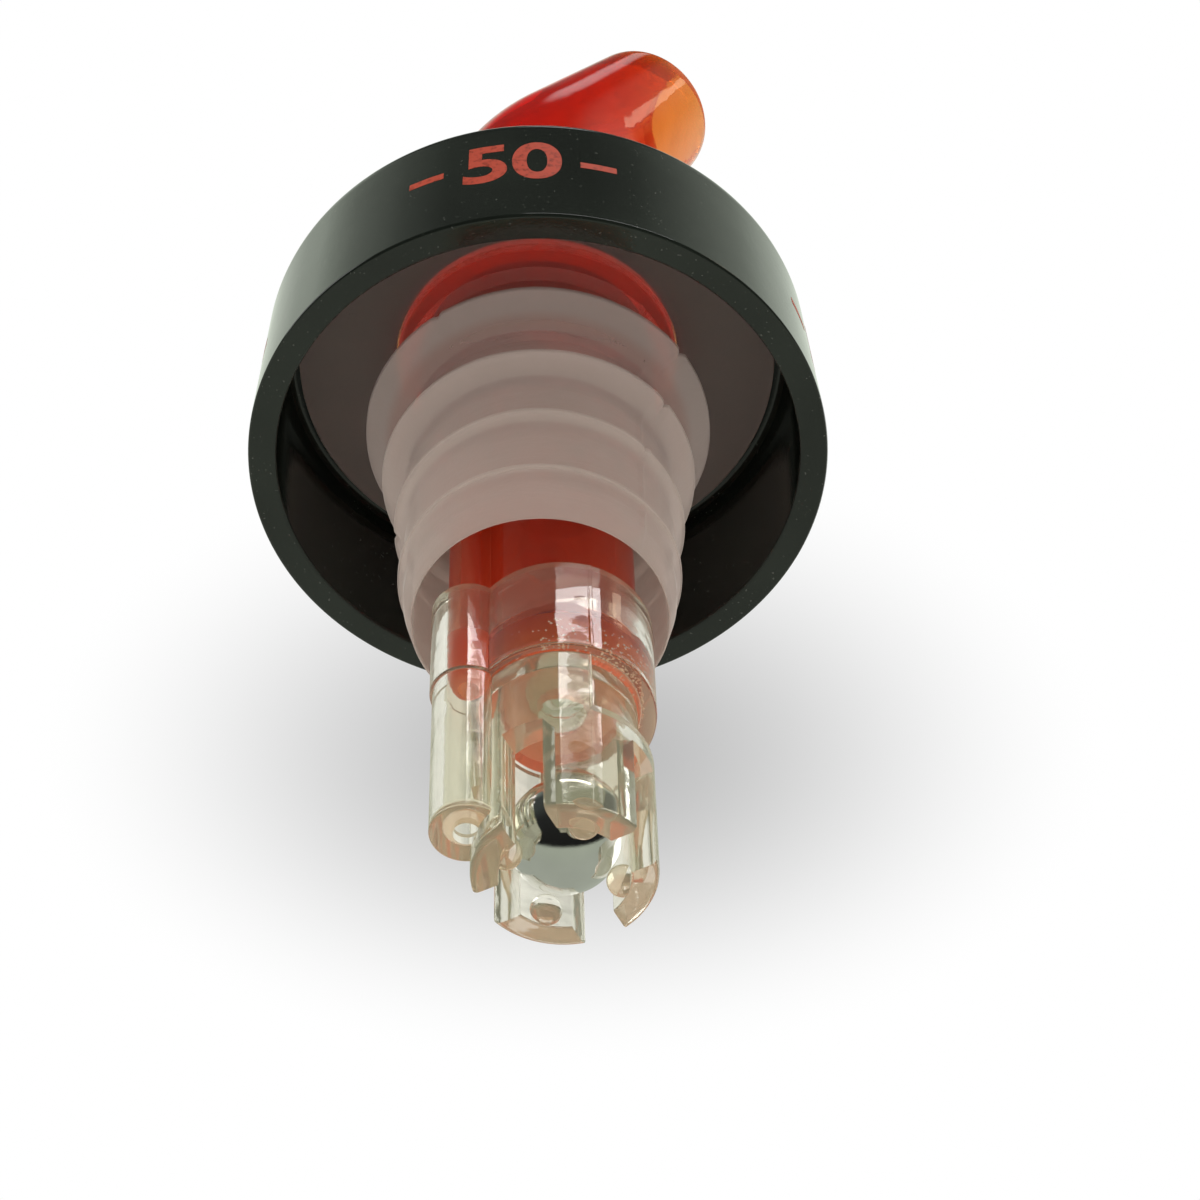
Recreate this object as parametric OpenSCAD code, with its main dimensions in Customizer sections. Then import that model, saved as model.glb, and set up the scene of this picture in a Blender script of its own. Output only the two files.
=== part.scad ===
// Measured liquor pourer: a ball-metered spout on a finned bottle stopper, with a skirted collar.
// +Z runs up the stopper's axis to the spout, +X is the side that the spout leans to.
// The origin is the centre of the seat face, the underside of the stopper's flange on the bottle's lip.

/* [Collar] */
// Outside diameter of the skirt at its open rim
collar_od = 36; // [32:0.5:42]
// Narrowing of the skirt's outside from rim to top, on the diameter
collar_draft = 1.4; // [0:0.1:2]
// Height from the open rim to the top face
collar_height = 13; // [10:0.5:18]
// Thickness of the skirt at the rim
collar_wall = 1.74; // [1.2:0.02:2.2]
// Thickness of the ceiling
collar_ceiling = 1.1; // [0.8:0.1:1.6]
// Radius of the rounded top edge
collar_edge_r = 1.9; // [1:0.1:2.2]
// Radius in the corner between skirt and ceiling
collar_fillet_r = 0.6; // [0.3:0.1:0.8]

/* [Stopper] */
// Gap between the flange on the bottle's lip and the skirt round it
flange_gap = 0.91; // [0.4:0.01:1.5]
// Thickness of the flange
flange_thick = 0.9; // [0.6:0.1:1.5]
// Diameter of the root that centres in the bottle's mouth
root_d = 17.8; // [17.4:0.1:18.4]
// Height of the root below the flange
root_len = 2.2; // [1.5:0.1:3]
// Diameter of the stem under the root
stem_top_d = 16.6; // [16.4:0.1:17]
// Diameter of the stem above its bevelled end
stem_low_d = 16.1; // [15.9:0.1:16.3]
// Diameter of the stem's end
stem_end_d = 15.3; // [15.2:0.05:15.6]
// Height of the bevel at the stem's end
stem_bevel = 1.8; // [1:0.1:2.4]
// Length of the stopper below the seat face
stopper_len = 27; // [25.5:0.5:28]
// Diameter of the first and largest fin
fin_first_d = 21.6; // [20:0.1:23]
// Diameter of the second fin
fin_second_d = 19.3; // [18:0.1:20]
// Diameter of the third fin
fin_third_d = 17.6; // [17.2:0.1:18.4]
// Diameter of the fourth and lowest fin
fin_fourth_d = 16.9; // [16.8:0.1:17.4]
// Depth of the first fin's edge below the seat face
fin_first_z = 7.5; // [6:0.5:8.5]
// Spacing of the fins
fin_pitch = 5.1; // [4.5:0.1:5.4]
// Thickness of a fin where it leaves the stem
fin_root_thick = 1.1; // [0.8:0.1:1.6]
// Thickness of a fin at its edge
fin_edge_thick = 0.4; // [0.3:0.05:0.6]
// How far the first fin's edge stands above its root
fin_rise = 0.9; // [0:0.1:1.2]

/* [Metering body] */
// Diameter of the plug inside the stopper
plug_d = 14.9; // [14.6:0.05:15]
// Length of the plug below the seat face
plug_len = 13; // [11:0.5:14]
// Diameter of the head that lies on the flange inside the collar
head_d = 18; // [17:0.1:19]
// Outside diameter of the ball tube
tube_od = 9; // [8.8:0.1:9.2]
// Bore of the ball tube
tube_bore_d = 7; // [6.7:0.1:7.4]
// Distance of the ball tube's axis from the stopper's axis, to the spout side
tube_offset = 1.2; // [1.1:0.01:1.3]
// Length of the ball tube below the seat face
tube_len = 34.6; // [33:0.1:35]
// Outside diameter of the air tube
air_od = 2.5; // [2.3:0.1:2.7]
// Bore of the air tube
air_bore_d = 1.2; // [0.8:0.1:1.4]
// Distance of the air tube's axis from the stopper's axis, to the other side
air_offset = 4.3; // [4.2:0.01:4.45]
// Length of the air tube below the seat face
air_len = 35.6; // [35.2:0.1:37]
// Bore of the outlet seat that the timing ball shuts
outlet_seat_d = 4.2; // [3.8:0.1:4.4]
// Depth of the outlet seat's lower edge below the plug
outlet_drop = 1.3; // [0.8:0.1:2]
// Height of the side inlets
inlet_height = 5; // [4.2:0.1:6]
// Width of the side inlets
inlet_width = 3.4; // [2.5:0.1:4]
// Diameter of the socket for the spout's spigot
socket_d = 12; // [11.5:0.1:12.4]
// Depth of the socket below the body's top
socket_depth = 5; // [3:0.5:6]
// Diameter of the vent ball's chamber
vent_chamber_d = 2.6; // [2.4:0.1:2.8]
// Length of the vent ball's chamber
vent_chamber_len = 6; // [4:0.5:7]

/* [Cage cap] */
// Outside diameter of the sleeve round the ball tube
sleeve_od = 10.8; // [10.6:0.1:11.4]
// Length of the twin sleeve
sleeve_len = 7.7; // [7.5:0.1:9]
// How far the ball tube goes into the sleeve
sleeve_depth = 6.9; // [6:0.1:7.3]
// Thickness of the cap's floor
floor_thick = 1.5; // [1.2:0.1:2]
// Diameter of the orifice through the floor
orifice_d = 2.8; // [2.2:0.1:3.4]
// Outside diameter of the cage
cage_od = 10.16; // [9.9:0.02:10.6]
// Inside diameter of the cage
cage_bore_d = 7.1; // [6.8:0.05:7.3]
// Length of the cage below the twin sleeve
cage_len = 13.35; // [12.5:0.05:14.5]
// Height of the half groove under the sleeve
groove_height = 4.6; // [3:0.1:5]
// Depth of the half groove
groove_depth = 0.78; // [0.4:0.02:0.9]
// Length of the slots between the fingers
slot_len = 7.45; // [6.5:0.05:7.8]
// Width of the slots
slot_width = 2.5; // [2:0.1:2.8]
// Radius of the fingers' outer tips
tip_r = 0.45; // [0.3:0.05:1]
// Diameter of the nubs that hold the ball in the cage
nub_d = 1.8; // [1.6:0.1:2]
// How far the nubs' centres stand in from the fingers' inner faces
nub_inset = 0.25; // [0:0.05:0.4]
// Outside diameter of the air sleeve's socket
air_socket_od = 4.4; // [4.2:0.1:4.6]
// Outside diameter of the air sleeve below its socket
air_sleeve_od = 4.1; // [3.9:0.1:4.3]
// Inside diameter of the air sleeve
air_sleeve_bore_d = 2.6; // [2.56:0.02:3]
// Length of the air sleeve below the twin sleeve
air_sleeve_len = 11.6; // [10:0.1:12.5]
// Thickness of the air sleeve's end wall
air_end_thick = 0.8; // [0.6:0.1:1.2]
// Diameter of the air hole in the end wall
air_hole_d = 1.5; // [1:0.1:1.8]

/* [Balls] */
// Diameter of the cage ball and the timing ball
ball_d = 6.35; // [6:0.05:6.5]
// Diameter of the vent ball
vent_ball_d = 2; // [1.8:0.1:2.2]

/* [Spout] */
// Lean of the spout's upper part from the stopper's axis, in degrees
spout_tilt = 27; // [15:1:35]
// Distance of the mouth's centre from the stopper's axis
spout_reach = 8.5; // [7:0.1:11]
// Height of the mouth's centre above the seat face
spout_height = 37.2; // [34:0.2:42]
// Radius of the bend in the spout's centreline
spout_bend_r = 25; // [15:1:30]
// Diameter of the spout at its foot
spout_foot_d = 17.6; // [16.8:0.1:18]
// Diameter of the spout at its mouth
spout_mouth_d = 10.1; // [9.4:0.1:10.8]
// Wall round the liquid passage at the mouth
spout_mouth_wall = 0.9; // [0.7:0.1:1.2]
// Wall round the liquid passage at the foot
spout_foot_wall = 1.8; // [1.4:0.1:2.4]
// Radius of the rounded lip
spout_lip_r = 0.4; // [0.2:0.05:0.45]
// Diameter of the shoulder on the collar
shoulder_d = 19.8; // [19:0.1:21]
// Height of the shoulder
shoulder_height = 1.2; // [0.8:0.1:1.8]
// Bore of the air passage along the spout's back
spout_air_d = 1.2; // [0.9:0.1:1.4]
// Wall between the two passages
spout_web = 0.9; // [0.7:0.1:1.2]

/* [Fits] */
// Gap on each side between pressed or bonded pieces
seat_gap = 0.02; // [0.01:0.01:0.05]
// Gap on each side where one piece drops into another
drop_gap = 0.1; // [0.05:0.01:0.2]
// Gap between a ball and its seat
ball_gap = 0.05; // [0.02:0.01:0.1]

/* [Hidden] */
$fn = 72;

// Overrun of every cut past the face that it opens
over = 0.2;
// Steps of an arc in a turned outline, and of the rounded lip
arc_steps = 8;
lip_steps = 3;
// How far each fin's edge stands above its root, and where its upper face turns, as shares
fin_rise_shares = [1, 0.79, 0.45, 0.31];
fin_turn_share = 0.25;
// Stations along the spout and sides of its outer, inner and air passage rings
spout_stations = 15;
spout_sides = 40;
passage_sides = 28;
air_sides = 12;

// Radii
collar_r = collar_od / 2;
collar_top_r = (collar_od - collar_draft) / 2;
collar_bore_r = collar_r - collar_wall;
flange_r = collar_bore_r - flange_gap;
head_r = head_d / 2;
plug_r = plug_d / 2;
stopper_bore_r = plug_r + seat_gap;
tube_r = tube_od / 2;
tube_bore_r = tube_bore_d / 2;
air_r = air_od / 2;
air_bore_r = air_bore_d / 2;
outlet_seat_r = outlet_seat_d / 2;
socket_r = socket_d / 2;
vent_chamber_r = vent_chamber_d / 2;
sleeve_r = sleeve_od / 2;
cage_r = cage_od / 2;
cage_bore_r = cage_bore_d / 2;
orifice_r = orifice_d / 2;
nub_r = nub_d / 2;
air_socket_r = air_socket_od / 2;
air_sleeve_r = air_sleeve_od / 2;
air_sleeve_bore_r = air_sleeve_bore_d / 2;
air_hole_r = air_hole_d / 2;
ball_r = ball_d / 2;
vent_ball_r = vent_ball_d / 2;
spout_air_r = spout_air_d / 2;

// Heights from the seat face
ceiling_z = flange_thick;
collar_top_z = flange_thick + collar_ceiling;
rim_z = collar_top_z - collar_height;
sleeve_top_z = -tube_len + sleeve_depth;
sleeve_low_z = sleeve_top_z - sleeve_len;
floor_top_z = -tube_len;
floor_low_z = floor_top_z - floor_thick;
cage_low_z = sleeve_low_z - cage_len;
groove_low_z = sleeve_low_z - groove_height;
slot_top_z = cage_low_z + slot_len;
air_sleeve_low_z = sleeve_low_z - air_sleeve_len;
socket_floor_z = collar_top_z - socket_depth;

// A ball of radius b resting on the edge of a hole of radius h stands this high over the face
function perch(b, h) = sqrt(b * b - h * h);

// Resting and highest places of the three balls
diagonal_share = sqrt(0.5);
timing_rest_z = floor_top_z + perch(ball_r, orifice_r) + ball_gap;
outlet_cone_low_z = -plug_len - outlet_drop;
timing_high_z = outlet_cone_low_z + tube_bore_r - ball_r / diagonal_share - ball_gap / diagonal_share;
cage_high_z = floor_low_z - perch(ball_r, orifice_r) - ball_gap;
nub_z = cage_low_z + nub_r;
nub_reach_r = cage_bore_r - nub_inset;
cage_rest_z = nub_z + perch(ball_r + nub_r + ball_gap, nub_reach_r);
vent_chamber_top_z = socket_floor_z - vent_ball_r;
vent_chamber_low_z = vent_chamber_top_z - vent_chamber_len;
vent_rest_z = vent_chamber_low_z + perch(vent_ball_r, air_bore_r) + ball_gap;
vent_high_z = vent_chamber_top_z - perch(vent_ball_r, air_bore_r) - ball_gap;

// Travel of the three balls, printed for the joints
timing_travel = timing_high_z - timing_rest_z;
cage_travel = cage_high_z - cage_rest_z;
vent_travel = vent_high_z - vent_rest_z;
echo(timing_travel = timing_travel, cage_travel = cage_travel, vent_travel = vent_travel);

// Points of an arc of radius r about [x, z] from angle a to angle b
function arc(x, z, r, a, b) =
    [for (i = [0:arc_steps]) let (t = a + (b - a) * i / arc_steps) [x + r * cos(t), z + r * sin(t)]];

// Outside radius of the collar at height z
function collar_side(z) =
    collar_r + (collar_top_r - collar_r) * (z - rim_z) / (collar_top_z - rim_z);

module collar() {
    edge_z = collar_top_z - collar_edge_r;
    edge_x = collar_side(edge_z) - collar_edge_r;
    corner_z = ceiling_z - collar_fillet_r;
    corner_x = collar_bore_r - collar_fillet_r;
    color([0.03, 0.045, 0.04])
    rotate_extrude()
        polygon(concat(
            [[collar_bore_r, rim_z], [collar_r, rim_z]],
            arc(edge_x, edge_z, collar_edge_r, 0, 90),
            [[head_r + drop_gap, collar_top_z], [head_r + drop_gap, ceiling_z]],
            arc(corner_x, corner_z, collar_fillet_r, 90, 0)
        ));
}

// Outside radius of the stopper's stem at depth d under the seat face
function stem_side(d) =
    (stem_top_d + (stem_low_d - stem_top_d) * (d - root_len) / (stopper_len - root_len)) / 2;

// One fin's outline, from its upper root to its lower root
function fin_points(d, fin_d, rise) = let (
        edge = fin_d / 2,
        under = d + fin_edge_thick,
        top_root = d + rise,
        low_root = top_root + fin_root_thick
    ) [
        [stem_side(top_root), -top_root],
        [edge - fin_edge_thick, -d + fin_edge_thick * fin_turn_share],
        [edge, -d],
        [edge, -under],
        [stem_side(low_root), -low_root]
    ];

module stopper() {
    fins = [fin_first_d, fin_second_d, fin_third_d, fin_fourth_d];
    color([0.86, 0.85, 0.82, 0.75])
    rotate_extrude()
        polygon(concat(
            [[stopper_bore_r, flange_thick], [flange_r, flange_thick], [flange_r, 0], [root_d / 2, 0]],
            [[root_d / 2, -root_len], [stem_side(root_len), -root_len - (root_d - stem_top_d) / 2]],
            [for (i = [0:len(fins) - 1])
                for (p = fin_points(fin_first_z + i * fin_pitch, fins[i], fin_rise * fin_rise_shares[i]))
                    p],
            [[stem_side(stopper_len - stem_bevel), -stopper_len + stem_bevel]],
            [[stem_end_d / 2, -stopper_len], [stopper_bore_r, -stopper_len]]
        ));
}

// A slot of the given width and height along Y, round at its ends
module inlet_slot() {
    end_r = inlet_width / 2;
    straight = inlet_height - inlet_width;
    rotate([90, 0, 0])
        union() {
            translate([0, straight / 2, 0])
                cylinder(r = end_r, h = tube_od + 2 * over, center = true);
            translate([0, -straight / 2, 0])
                cylinder(r = end_r, h = tube_od + 2 * over, center = true);
            cube([inlet_width, straight, tube_od + 2 * over], center = true);
        }
}

module metering_body() {
    inlet_z = outlet_cone_low_z - inlet_height / 2 - ball_gap;
    seat_top_z = outlet_cone_low_z + tube_bore_r - outlet_seat_r;
    color([0.85, 0.18, 0.08, 0.7])
    difference() {
        union() {
            translate([0, 0, flange_thick])
                cylinder(r = head_r, h = collar_ceiling);
            translate([0, 0, -plug_len])
                cylinder(r = plug_r, h = plug_len + flange_thick + over);
            translate([tube_offset, 0, -tube_len])
                cylinder(r = tube_r, h = tube_len - plug_len + over);
            translate([-air_offset, 0, -air_len + air_r])
                cylinder(r = air_r, h = air_len - air_r - plug_len + over);
            translate([-air_offset, 0, -air_len + air_r])
                sphere(r = air_r);
            // Web that fills the groove between the tubes
            translate([-air_offset, -air_r / 2, -tube_len])
                cube([air_offset + tube_offset - tube_bore_r - over, air_r, tube_len - plug_len + over]);
        }
        // Ball tube, outlet seat and passage to the socket
        translate([tube_offset, 0, 0])
            rotate_extrude()
                polygon([
                    [0, -tube_len - over], [tube_bore_r, -tube_len - over], [tube_bore_r, outlet_cone_low_z],
                    [outlet_seat_r, seat_top_z], [outlet_seat_r, seat_top_z + outlet_seat_r],
                    [tube_bore_r, socket_floor_z - over], [tube_bore_r, socket_floor_z + over],
                    [0, socket_floor_z + over]
                ]);
        translate([tube_offset, 0, inlet_z])
            inlet_slot();
        // Socket for the spout
        translate([0, 0, socket_floor_z])
            cylinder(r = socket_r, h = socket_depth + over);
        // Air passage with the vent ball's chamber
        translate([-air_offset, 0, -air_len - over])
            cylinder(r = air_bore_r, h = air_len + socket_floor_z + 2 * over);
        translate([-air_offset, 0, vent_chamber_low_z])
            cylinder(r = vent_chamber_r, h = vent_chamber_len);
    }
}

// A ring sector of the cage: the turned outline of the neck and the four fingers
module cage_shell() {
    difference() {
        rotate_extrude()
            polygon(concat(
                [[orifice_r, floor_top_z - over], [cage_r, floor_top_z - over]],
                arc(cage_r - tip_r, cage_low_z + tip_r, tip_r, 0, -90),
                [[cage_bore_r, cage_low_z], [cage_bore_r, floor_low_z], [orifice_r, floor_low_z]]
            ));
        // Slots between the fingers
        for (turn = [45, 135])
            rotate([0, 0, turn])
                translate([-cage_od / 2 - over, -slot_width / 2, cage_low_z - over])
                    cube([cage_od + 2 * over, slot_width, slot_len + over]);
        // Half groove on the spout side of the parting line
        translate([0, 0, groove_low_z])
            rotate([0, 0, -90])
                rotate_extrude(angle = 180)
                    translate([cage_r - groove_depth, 0])
                        square([groove_depth + over, groove_height]);
    }
}

module cage_cap() {
    color([0.93, 0.95, 0.92, 0.45])
    difference() {
        union() {
            translate([tube_offset, 0, 0]) {
                cage_shell();
                for (turn = [0, 90, 180, 270])
                    rotate([0, 0, turn])
                        translate([nub_reach_r, 0, nub_z])
                            rotate([0, 90, 0])
                                sphere(r = nub_r, $fn = 32);
                translate([0, 0, sleeve_low_z])
                    cylinder(r = sleeve_r, h = sleeve_len);
            }
            translate([-air_offset, 0, sleeve_low_z])
                cylinder(r = air_socket_r, h = sleeve_len);
            translate([-air_offset, 0, air_sleeve_low_z])
                cylinder(r = air_sleeve_r, h = air_sleeve_len + over);
        }
        // Socket for the ball tube, down to the floor, and the orifice through the floor
        translate([tube_offset, 0, floor_top_z])
            cylinder(r = tube_r + seat_gap, h = sleeve_depth + over);
        translate([tube_offset, 0, floor_low_z - over])
            cylinder(r = orifice_r, h = floor_thick + 2 * over);
        // Air passage
        translate([-air_offset, 0, air_sleeve_low_z + air_end_thick])
            cylinder(r = air_sleeve_bore_r, h = sleeve_top_z - air_sleeve_low_z);
        translate([-air_offset, 0, air_sleeve_low_z - over])
            cylinder(r = air_hole_r, h = air_end_thick + 2 * over);
        // Room for the web between the two tubes
        translate([-air_offset, -air_r / 2 - seat_gap, -tube_len])
            cube([air_offset, air_r + 2 * seat_gap, sleeve_depth + over]);
        // The ball's room in the cage
        translate([tube_offset, 0, nub_z + nub_r])
            cylinder(r = cage_bore_r, h = floor_low_z - nub_z - nub_r);
    }
}

module cage_ball() {
    color([0.8, 0.82, 0.82])
    translate([tube_offset, 0, cage_rest_z])
        sphere(r = ball_r);
}

module timing_ball() {
    color([0.8, 0.82, 0.82])
    translate([tube_offset, 0, timing_rest_z])
        sphere(r = ball_r);
}

module vent_ball() {
    color([0.8, 0.82, 0.82])
    translate([-air_offset, 0, vent_rest_z])
        sphere(r = vent_ball_r);
}

// Centreline of the spout: up the axis, round the bend, then straight along the lean.
// Each place along it is [x, z, lean].
bend_arm = spout_bend_r * tan(spout_tilt / 2);
knee_z = spout_height - spout_reach / tan(spout_tilt);
bend_start = knee_z - bend_arm - collar_top_z;
bend_len = spout_bend_r * spout_tilt * PI / 180;
spout_len = bend_start + bend_len + spout_reach / sin(spout_tilt) - bend_arm;

function centreline(s) =
    s <= bend_start ? [0, collar_top_z + s, 0]
    : s <= bend_start + bend_len ? let (t = (s - bend_start) / spout_bend_r * 180 / PI)
        [spout_bend_r * (1 - cos(t)), collar_top_z + bend_start + spout_bend_r * sin(t), t]
    : let (back = spout_len - s)
        [spout_reach - back * sin(spout_tilt), spout_height - back * cos(spout_tilt), spout_tilt];

// A ring of n points round the centreline at s, with its centre moved by off along the lean's side
function ring(s, r, off, n) = let (c = centreline(s)) [
    for (i = [0:n - 1]) let (t = 360 * i / n, u = off + r * cos(t))
        [c[0] + u * cos(c[2]), r * sin(t), c[1] - u * sin(c[2])]
];

// Triangles that close a stack of rings into a solid
function stack_faces(rings, n) = concat(
    [for (j = [0:rings - 2]) for (i = [0:n - 1])
        let (a = j * n + i, b = j * n + (i + 1) % n) [a, a + n, b]],
    [for (j = [0:rings - 2]) for (i = [0:n - 1])
        let (a = j * n + i, b = j * n + (i + 1) % n) [b, a + n, b + n]],
    [[for (i = [0:n - 1]) i]],
    [[for (i = [n - 1:-1:0]) (rings - 1) * n + i]]
);

module stack(rows, n) {
    polyhedron([for (row = rows) for (p = row) p], stack_faces(len(rows), n), convexity = 6);
}

// Radius of the outside, radius and offset of the liquid passage, and offset of the air passage at s
function outer_at(s) = (spout_foot_d + (spout_mouth_d - spout_foot_d) * s / spout_len) / 2;
function wall_at(s) = spout_foot_wall + (spout_mouth_wall - spout_foot_wall) * s / spout_len;
function air_place(s) = let (mouth = spout_mouth_wall + spout_air_r - spout_mouth_d / 2)
    -air_offset + (mouth + air_offset) * s / spout_len;
function passage_edge(s) = air_place(s) + spout_air_r + spout_web;
function passage_far(s) = outer_at(s) - wall_at(s);
function passage_r(s) = (passage_far(s) - passage_edge(s)) / 2;
function passage_offset(s) = (passage_far(s) + passage_edge(s)) / 2;

module spout() {
    stations = [for (i = [0:spout_stations]) i / spout_stations * (spout_len - spout_lip_r)];
    lip = [for (i = [1:lip_steps]) let (t = 90 * i / lip_steps)
        [spout_len - spout_lip_r * (1 - sin(t)), spout_lip_r * (1 - cos(t))]];
    inside = [for (i = [0:spout_stations]) shoulder_height
        + i / spout_stations * (spout_len + over - shoulder_height)];
    air = [for (i = [0:spout_stations]) -over + i / spout_stations * (spout_len + 2 * over)];
    color([0.9, 0.2, 0.07, 0.7])
    difference() {
        union() {
            stack(concat(
                [for (s = stations) ring(s, outer_at(s), 0, spout_sides)],
                [for (p = lip) ring(p[0], outer_at(p[0]) - p[1], 0, spout_sides)]
            ), spout_sides);
            translate([0, 0, collar_top_z])
                cylinder(r = shoulder_d / 2, h = shoulder_height);
            translate([0, 0, socket_floor_z + seat_gap])
                cylinder(r = socket_r - seat_gap, h = socket_depth + shoulder_height / 2);
        }
        // Liquid passage, wide in the spout and as wide as the ball tube in the spigot
        stack([for (s = inside) ring(s, passage_r(s), passage_offset(s), passage_sides)], passage_sides);
        translate([tube_offset, 0, socket_floor_z - over])
            cylinder(r = tube_bore_r, h = socket_depth + shoulder_height + 2 * over);
        // Air passage, a little wider through the spigot
        stack([for (s = air) ring(s, spout_air_r, air_place(s), air_sides)], air_sides);
        translate([-air_offset, 0, socket_floor_z - over])
            cylinder(r = spout_air_r + seat_gap, h = socket_depth + over);
    }
}

spout();
metering_body();
collar();
stopper();
cage_cap();
cage_ball();
timing_ball();
vent_ball();
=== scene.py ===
"""Finishes and moulded detail of a measured liquor pourer, built round its packed frame.

The file is laid out as an add-on and run as a script. Lengths are in metres, in the frame's own axes:
+Z up the stopper to the spout, +X to the side that the spout leans to, and the seat face at z = 0.
"""

import math

import bmesh
import bpy
from mathutils import Matrix, Vector, noise


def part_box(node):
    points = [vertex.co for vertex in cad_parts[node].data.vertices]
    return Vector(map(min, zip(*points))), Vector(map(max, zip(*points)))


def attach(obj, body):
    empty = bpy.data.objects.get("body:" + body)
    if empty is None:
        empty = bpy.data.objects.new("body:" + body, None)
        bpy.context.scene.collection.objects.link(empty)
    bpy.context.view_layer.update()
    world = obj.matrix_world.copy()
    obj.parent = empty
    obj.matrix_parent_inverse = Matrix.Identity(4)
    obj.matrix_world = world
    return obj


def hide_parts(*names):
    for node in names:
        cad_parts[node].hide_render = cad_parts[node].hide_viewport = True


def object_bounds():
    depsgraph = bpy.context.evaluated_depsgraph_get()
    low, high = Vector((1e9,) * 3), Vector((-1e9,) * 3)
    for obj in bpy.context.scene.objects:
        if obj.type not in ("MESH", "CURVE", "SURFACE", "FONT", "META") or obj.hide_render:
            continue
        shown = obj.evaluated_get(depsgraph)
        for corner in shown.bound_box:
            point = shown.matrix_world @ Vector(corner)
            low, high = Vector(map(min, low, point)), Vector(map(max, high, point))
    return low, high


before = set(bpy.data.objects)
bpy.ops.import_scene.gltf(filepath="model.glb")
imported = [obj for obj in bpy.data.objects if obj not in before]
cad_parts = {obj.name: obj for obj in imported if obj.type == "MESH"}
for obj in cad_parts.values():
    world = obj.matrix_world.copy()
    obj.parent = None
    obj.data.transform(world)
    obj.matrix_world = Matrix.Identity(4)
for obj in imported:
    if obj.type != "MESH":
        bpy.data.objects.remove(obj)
CAD_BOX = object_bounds()

bl_info = {
    "name": "Measured liquor pourer",
    "version": (1, 0, 0),
    "blender": (4, 5, 0),
    "location": "3D View > Sidebar > Pourer",
    "description": "Builds the spout, stopper, collar, ball cage and balls of a pourer with their finishes",
    "category": "Object",
}

MM = 0.001
BODY = "pourer"
SMOOTH_ANGLE = math.radians(32)
# How far a cutter stands past the face that it cuts, and how far joined solids reach into each other
OVER = 0.2 * MM

# Sizes and colours that a user would change


def length(name, default_mm, description):
    """A length property, given in millimetres."""
    return bpy.props.FloatProperty(
        name=name, description=description, default=default_mm * MM, min=0, precision=5,
        unit="LENGTH", subtype="DISTANCE",
    )


# What the last part of a size's name measures: the end of its label, and its description
MEASURES = {
    "x": ("place", "Distance of the %s from the axis"),
    "d": ("diameter", "Outside diameter of the %s"),
    "bore": ("bore", "Inside diameter of the %s"),
    "end": ("end", "Depth of the lower end of the %s below the seat face"),
    "low": ("underside", "Distance of the underside of the %s from the seat face"),
    "top": ("top", "Distance of the top of the %s from the seat face"),
    "tall": ("height", "Height of the %s"),
    "wide": ("width", "Width of the %s"),
    "deep": ("depth", "Depth of the %s"),
    "wall": ("wall", "Wall thickness of the %s"),
    "edge": ("edge", "Rounding of the edges of the %s"),
}


def sizes(stem, feature, **measures):
    """The length properties of one feature, in millimetres, each called by the stem and a key of MEASURES."""
    made = {}
    for measure, default_mm in measures.items():
        label, description = MEASURES[measure]
        name = (feature + " " + label).capitalize()
        made[stem + "_" + measure] = length(name, default_mm, description % feature)
    return made


def colour(name, default, description):
    """A colour property."""
    return bpy.props.FloatVectorProperty(
        name=name, description=description, default=default, size=3, min=0, max=1, subtype="COLOR",
    )


def share(name, default, description, top=1.0):
    """A plain factor."""
    return bpy.props.FloatProperty(name=name, description=description, default=default, min=0, max=top)


def node_width(node, axis=0):
    low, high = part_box(node)
    return (high[axis] - low[axis]) / MM


def node_middle(node, axis=0):
    low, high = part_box(node)
    return (high[axis] + low[axis]) / 2 / MM


def node_low(node, axis=2):
    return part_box(node)[0][axis] / MM


def node_high(node, axis=2):
    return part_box(node)[1][axis] / MM


class PourerTubes(bpy.types.PropertyGroup):
    """The red moulding's twin tubes, which the cap fits round."""

    __annotations__ = {
        **sizes("tube", "ball tube", x=node_middle("cage_ball"), d=9, bore=7, end=34.6),
        **sizes(
            "air", "air tube", x=-node_middle("vent_ball"), d=2.5, bore=1.2, end=-node_low("metering_body")),
        **sizes("plug", "plug in the stopper", d=14.9, end=13),
        **sizes("head", "head on the flange", d=node_width("metering_body"), low=node_high("stopper")),
        **sizes("socket", "spout's socket", d=12, deep=5),
        **sizes("outlet", "seat that the upper ball shuts", bore=4.2),
        **sizes("inlet", "side inlets", tall=5, wide=3.4),
        **sizes("chamber", "vent ball's chamber", bore=2.6, tall=6),
    }
    outlet_drop: length("Outlet drop", 1.3, "Depth of the seat's lower edge below the plug")
    web: length("Web", 1.25, "Thickness of the web between the tubes")
    edge: length("Edge radius", 0.18, "Rounding of the moulded ends")


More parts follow.
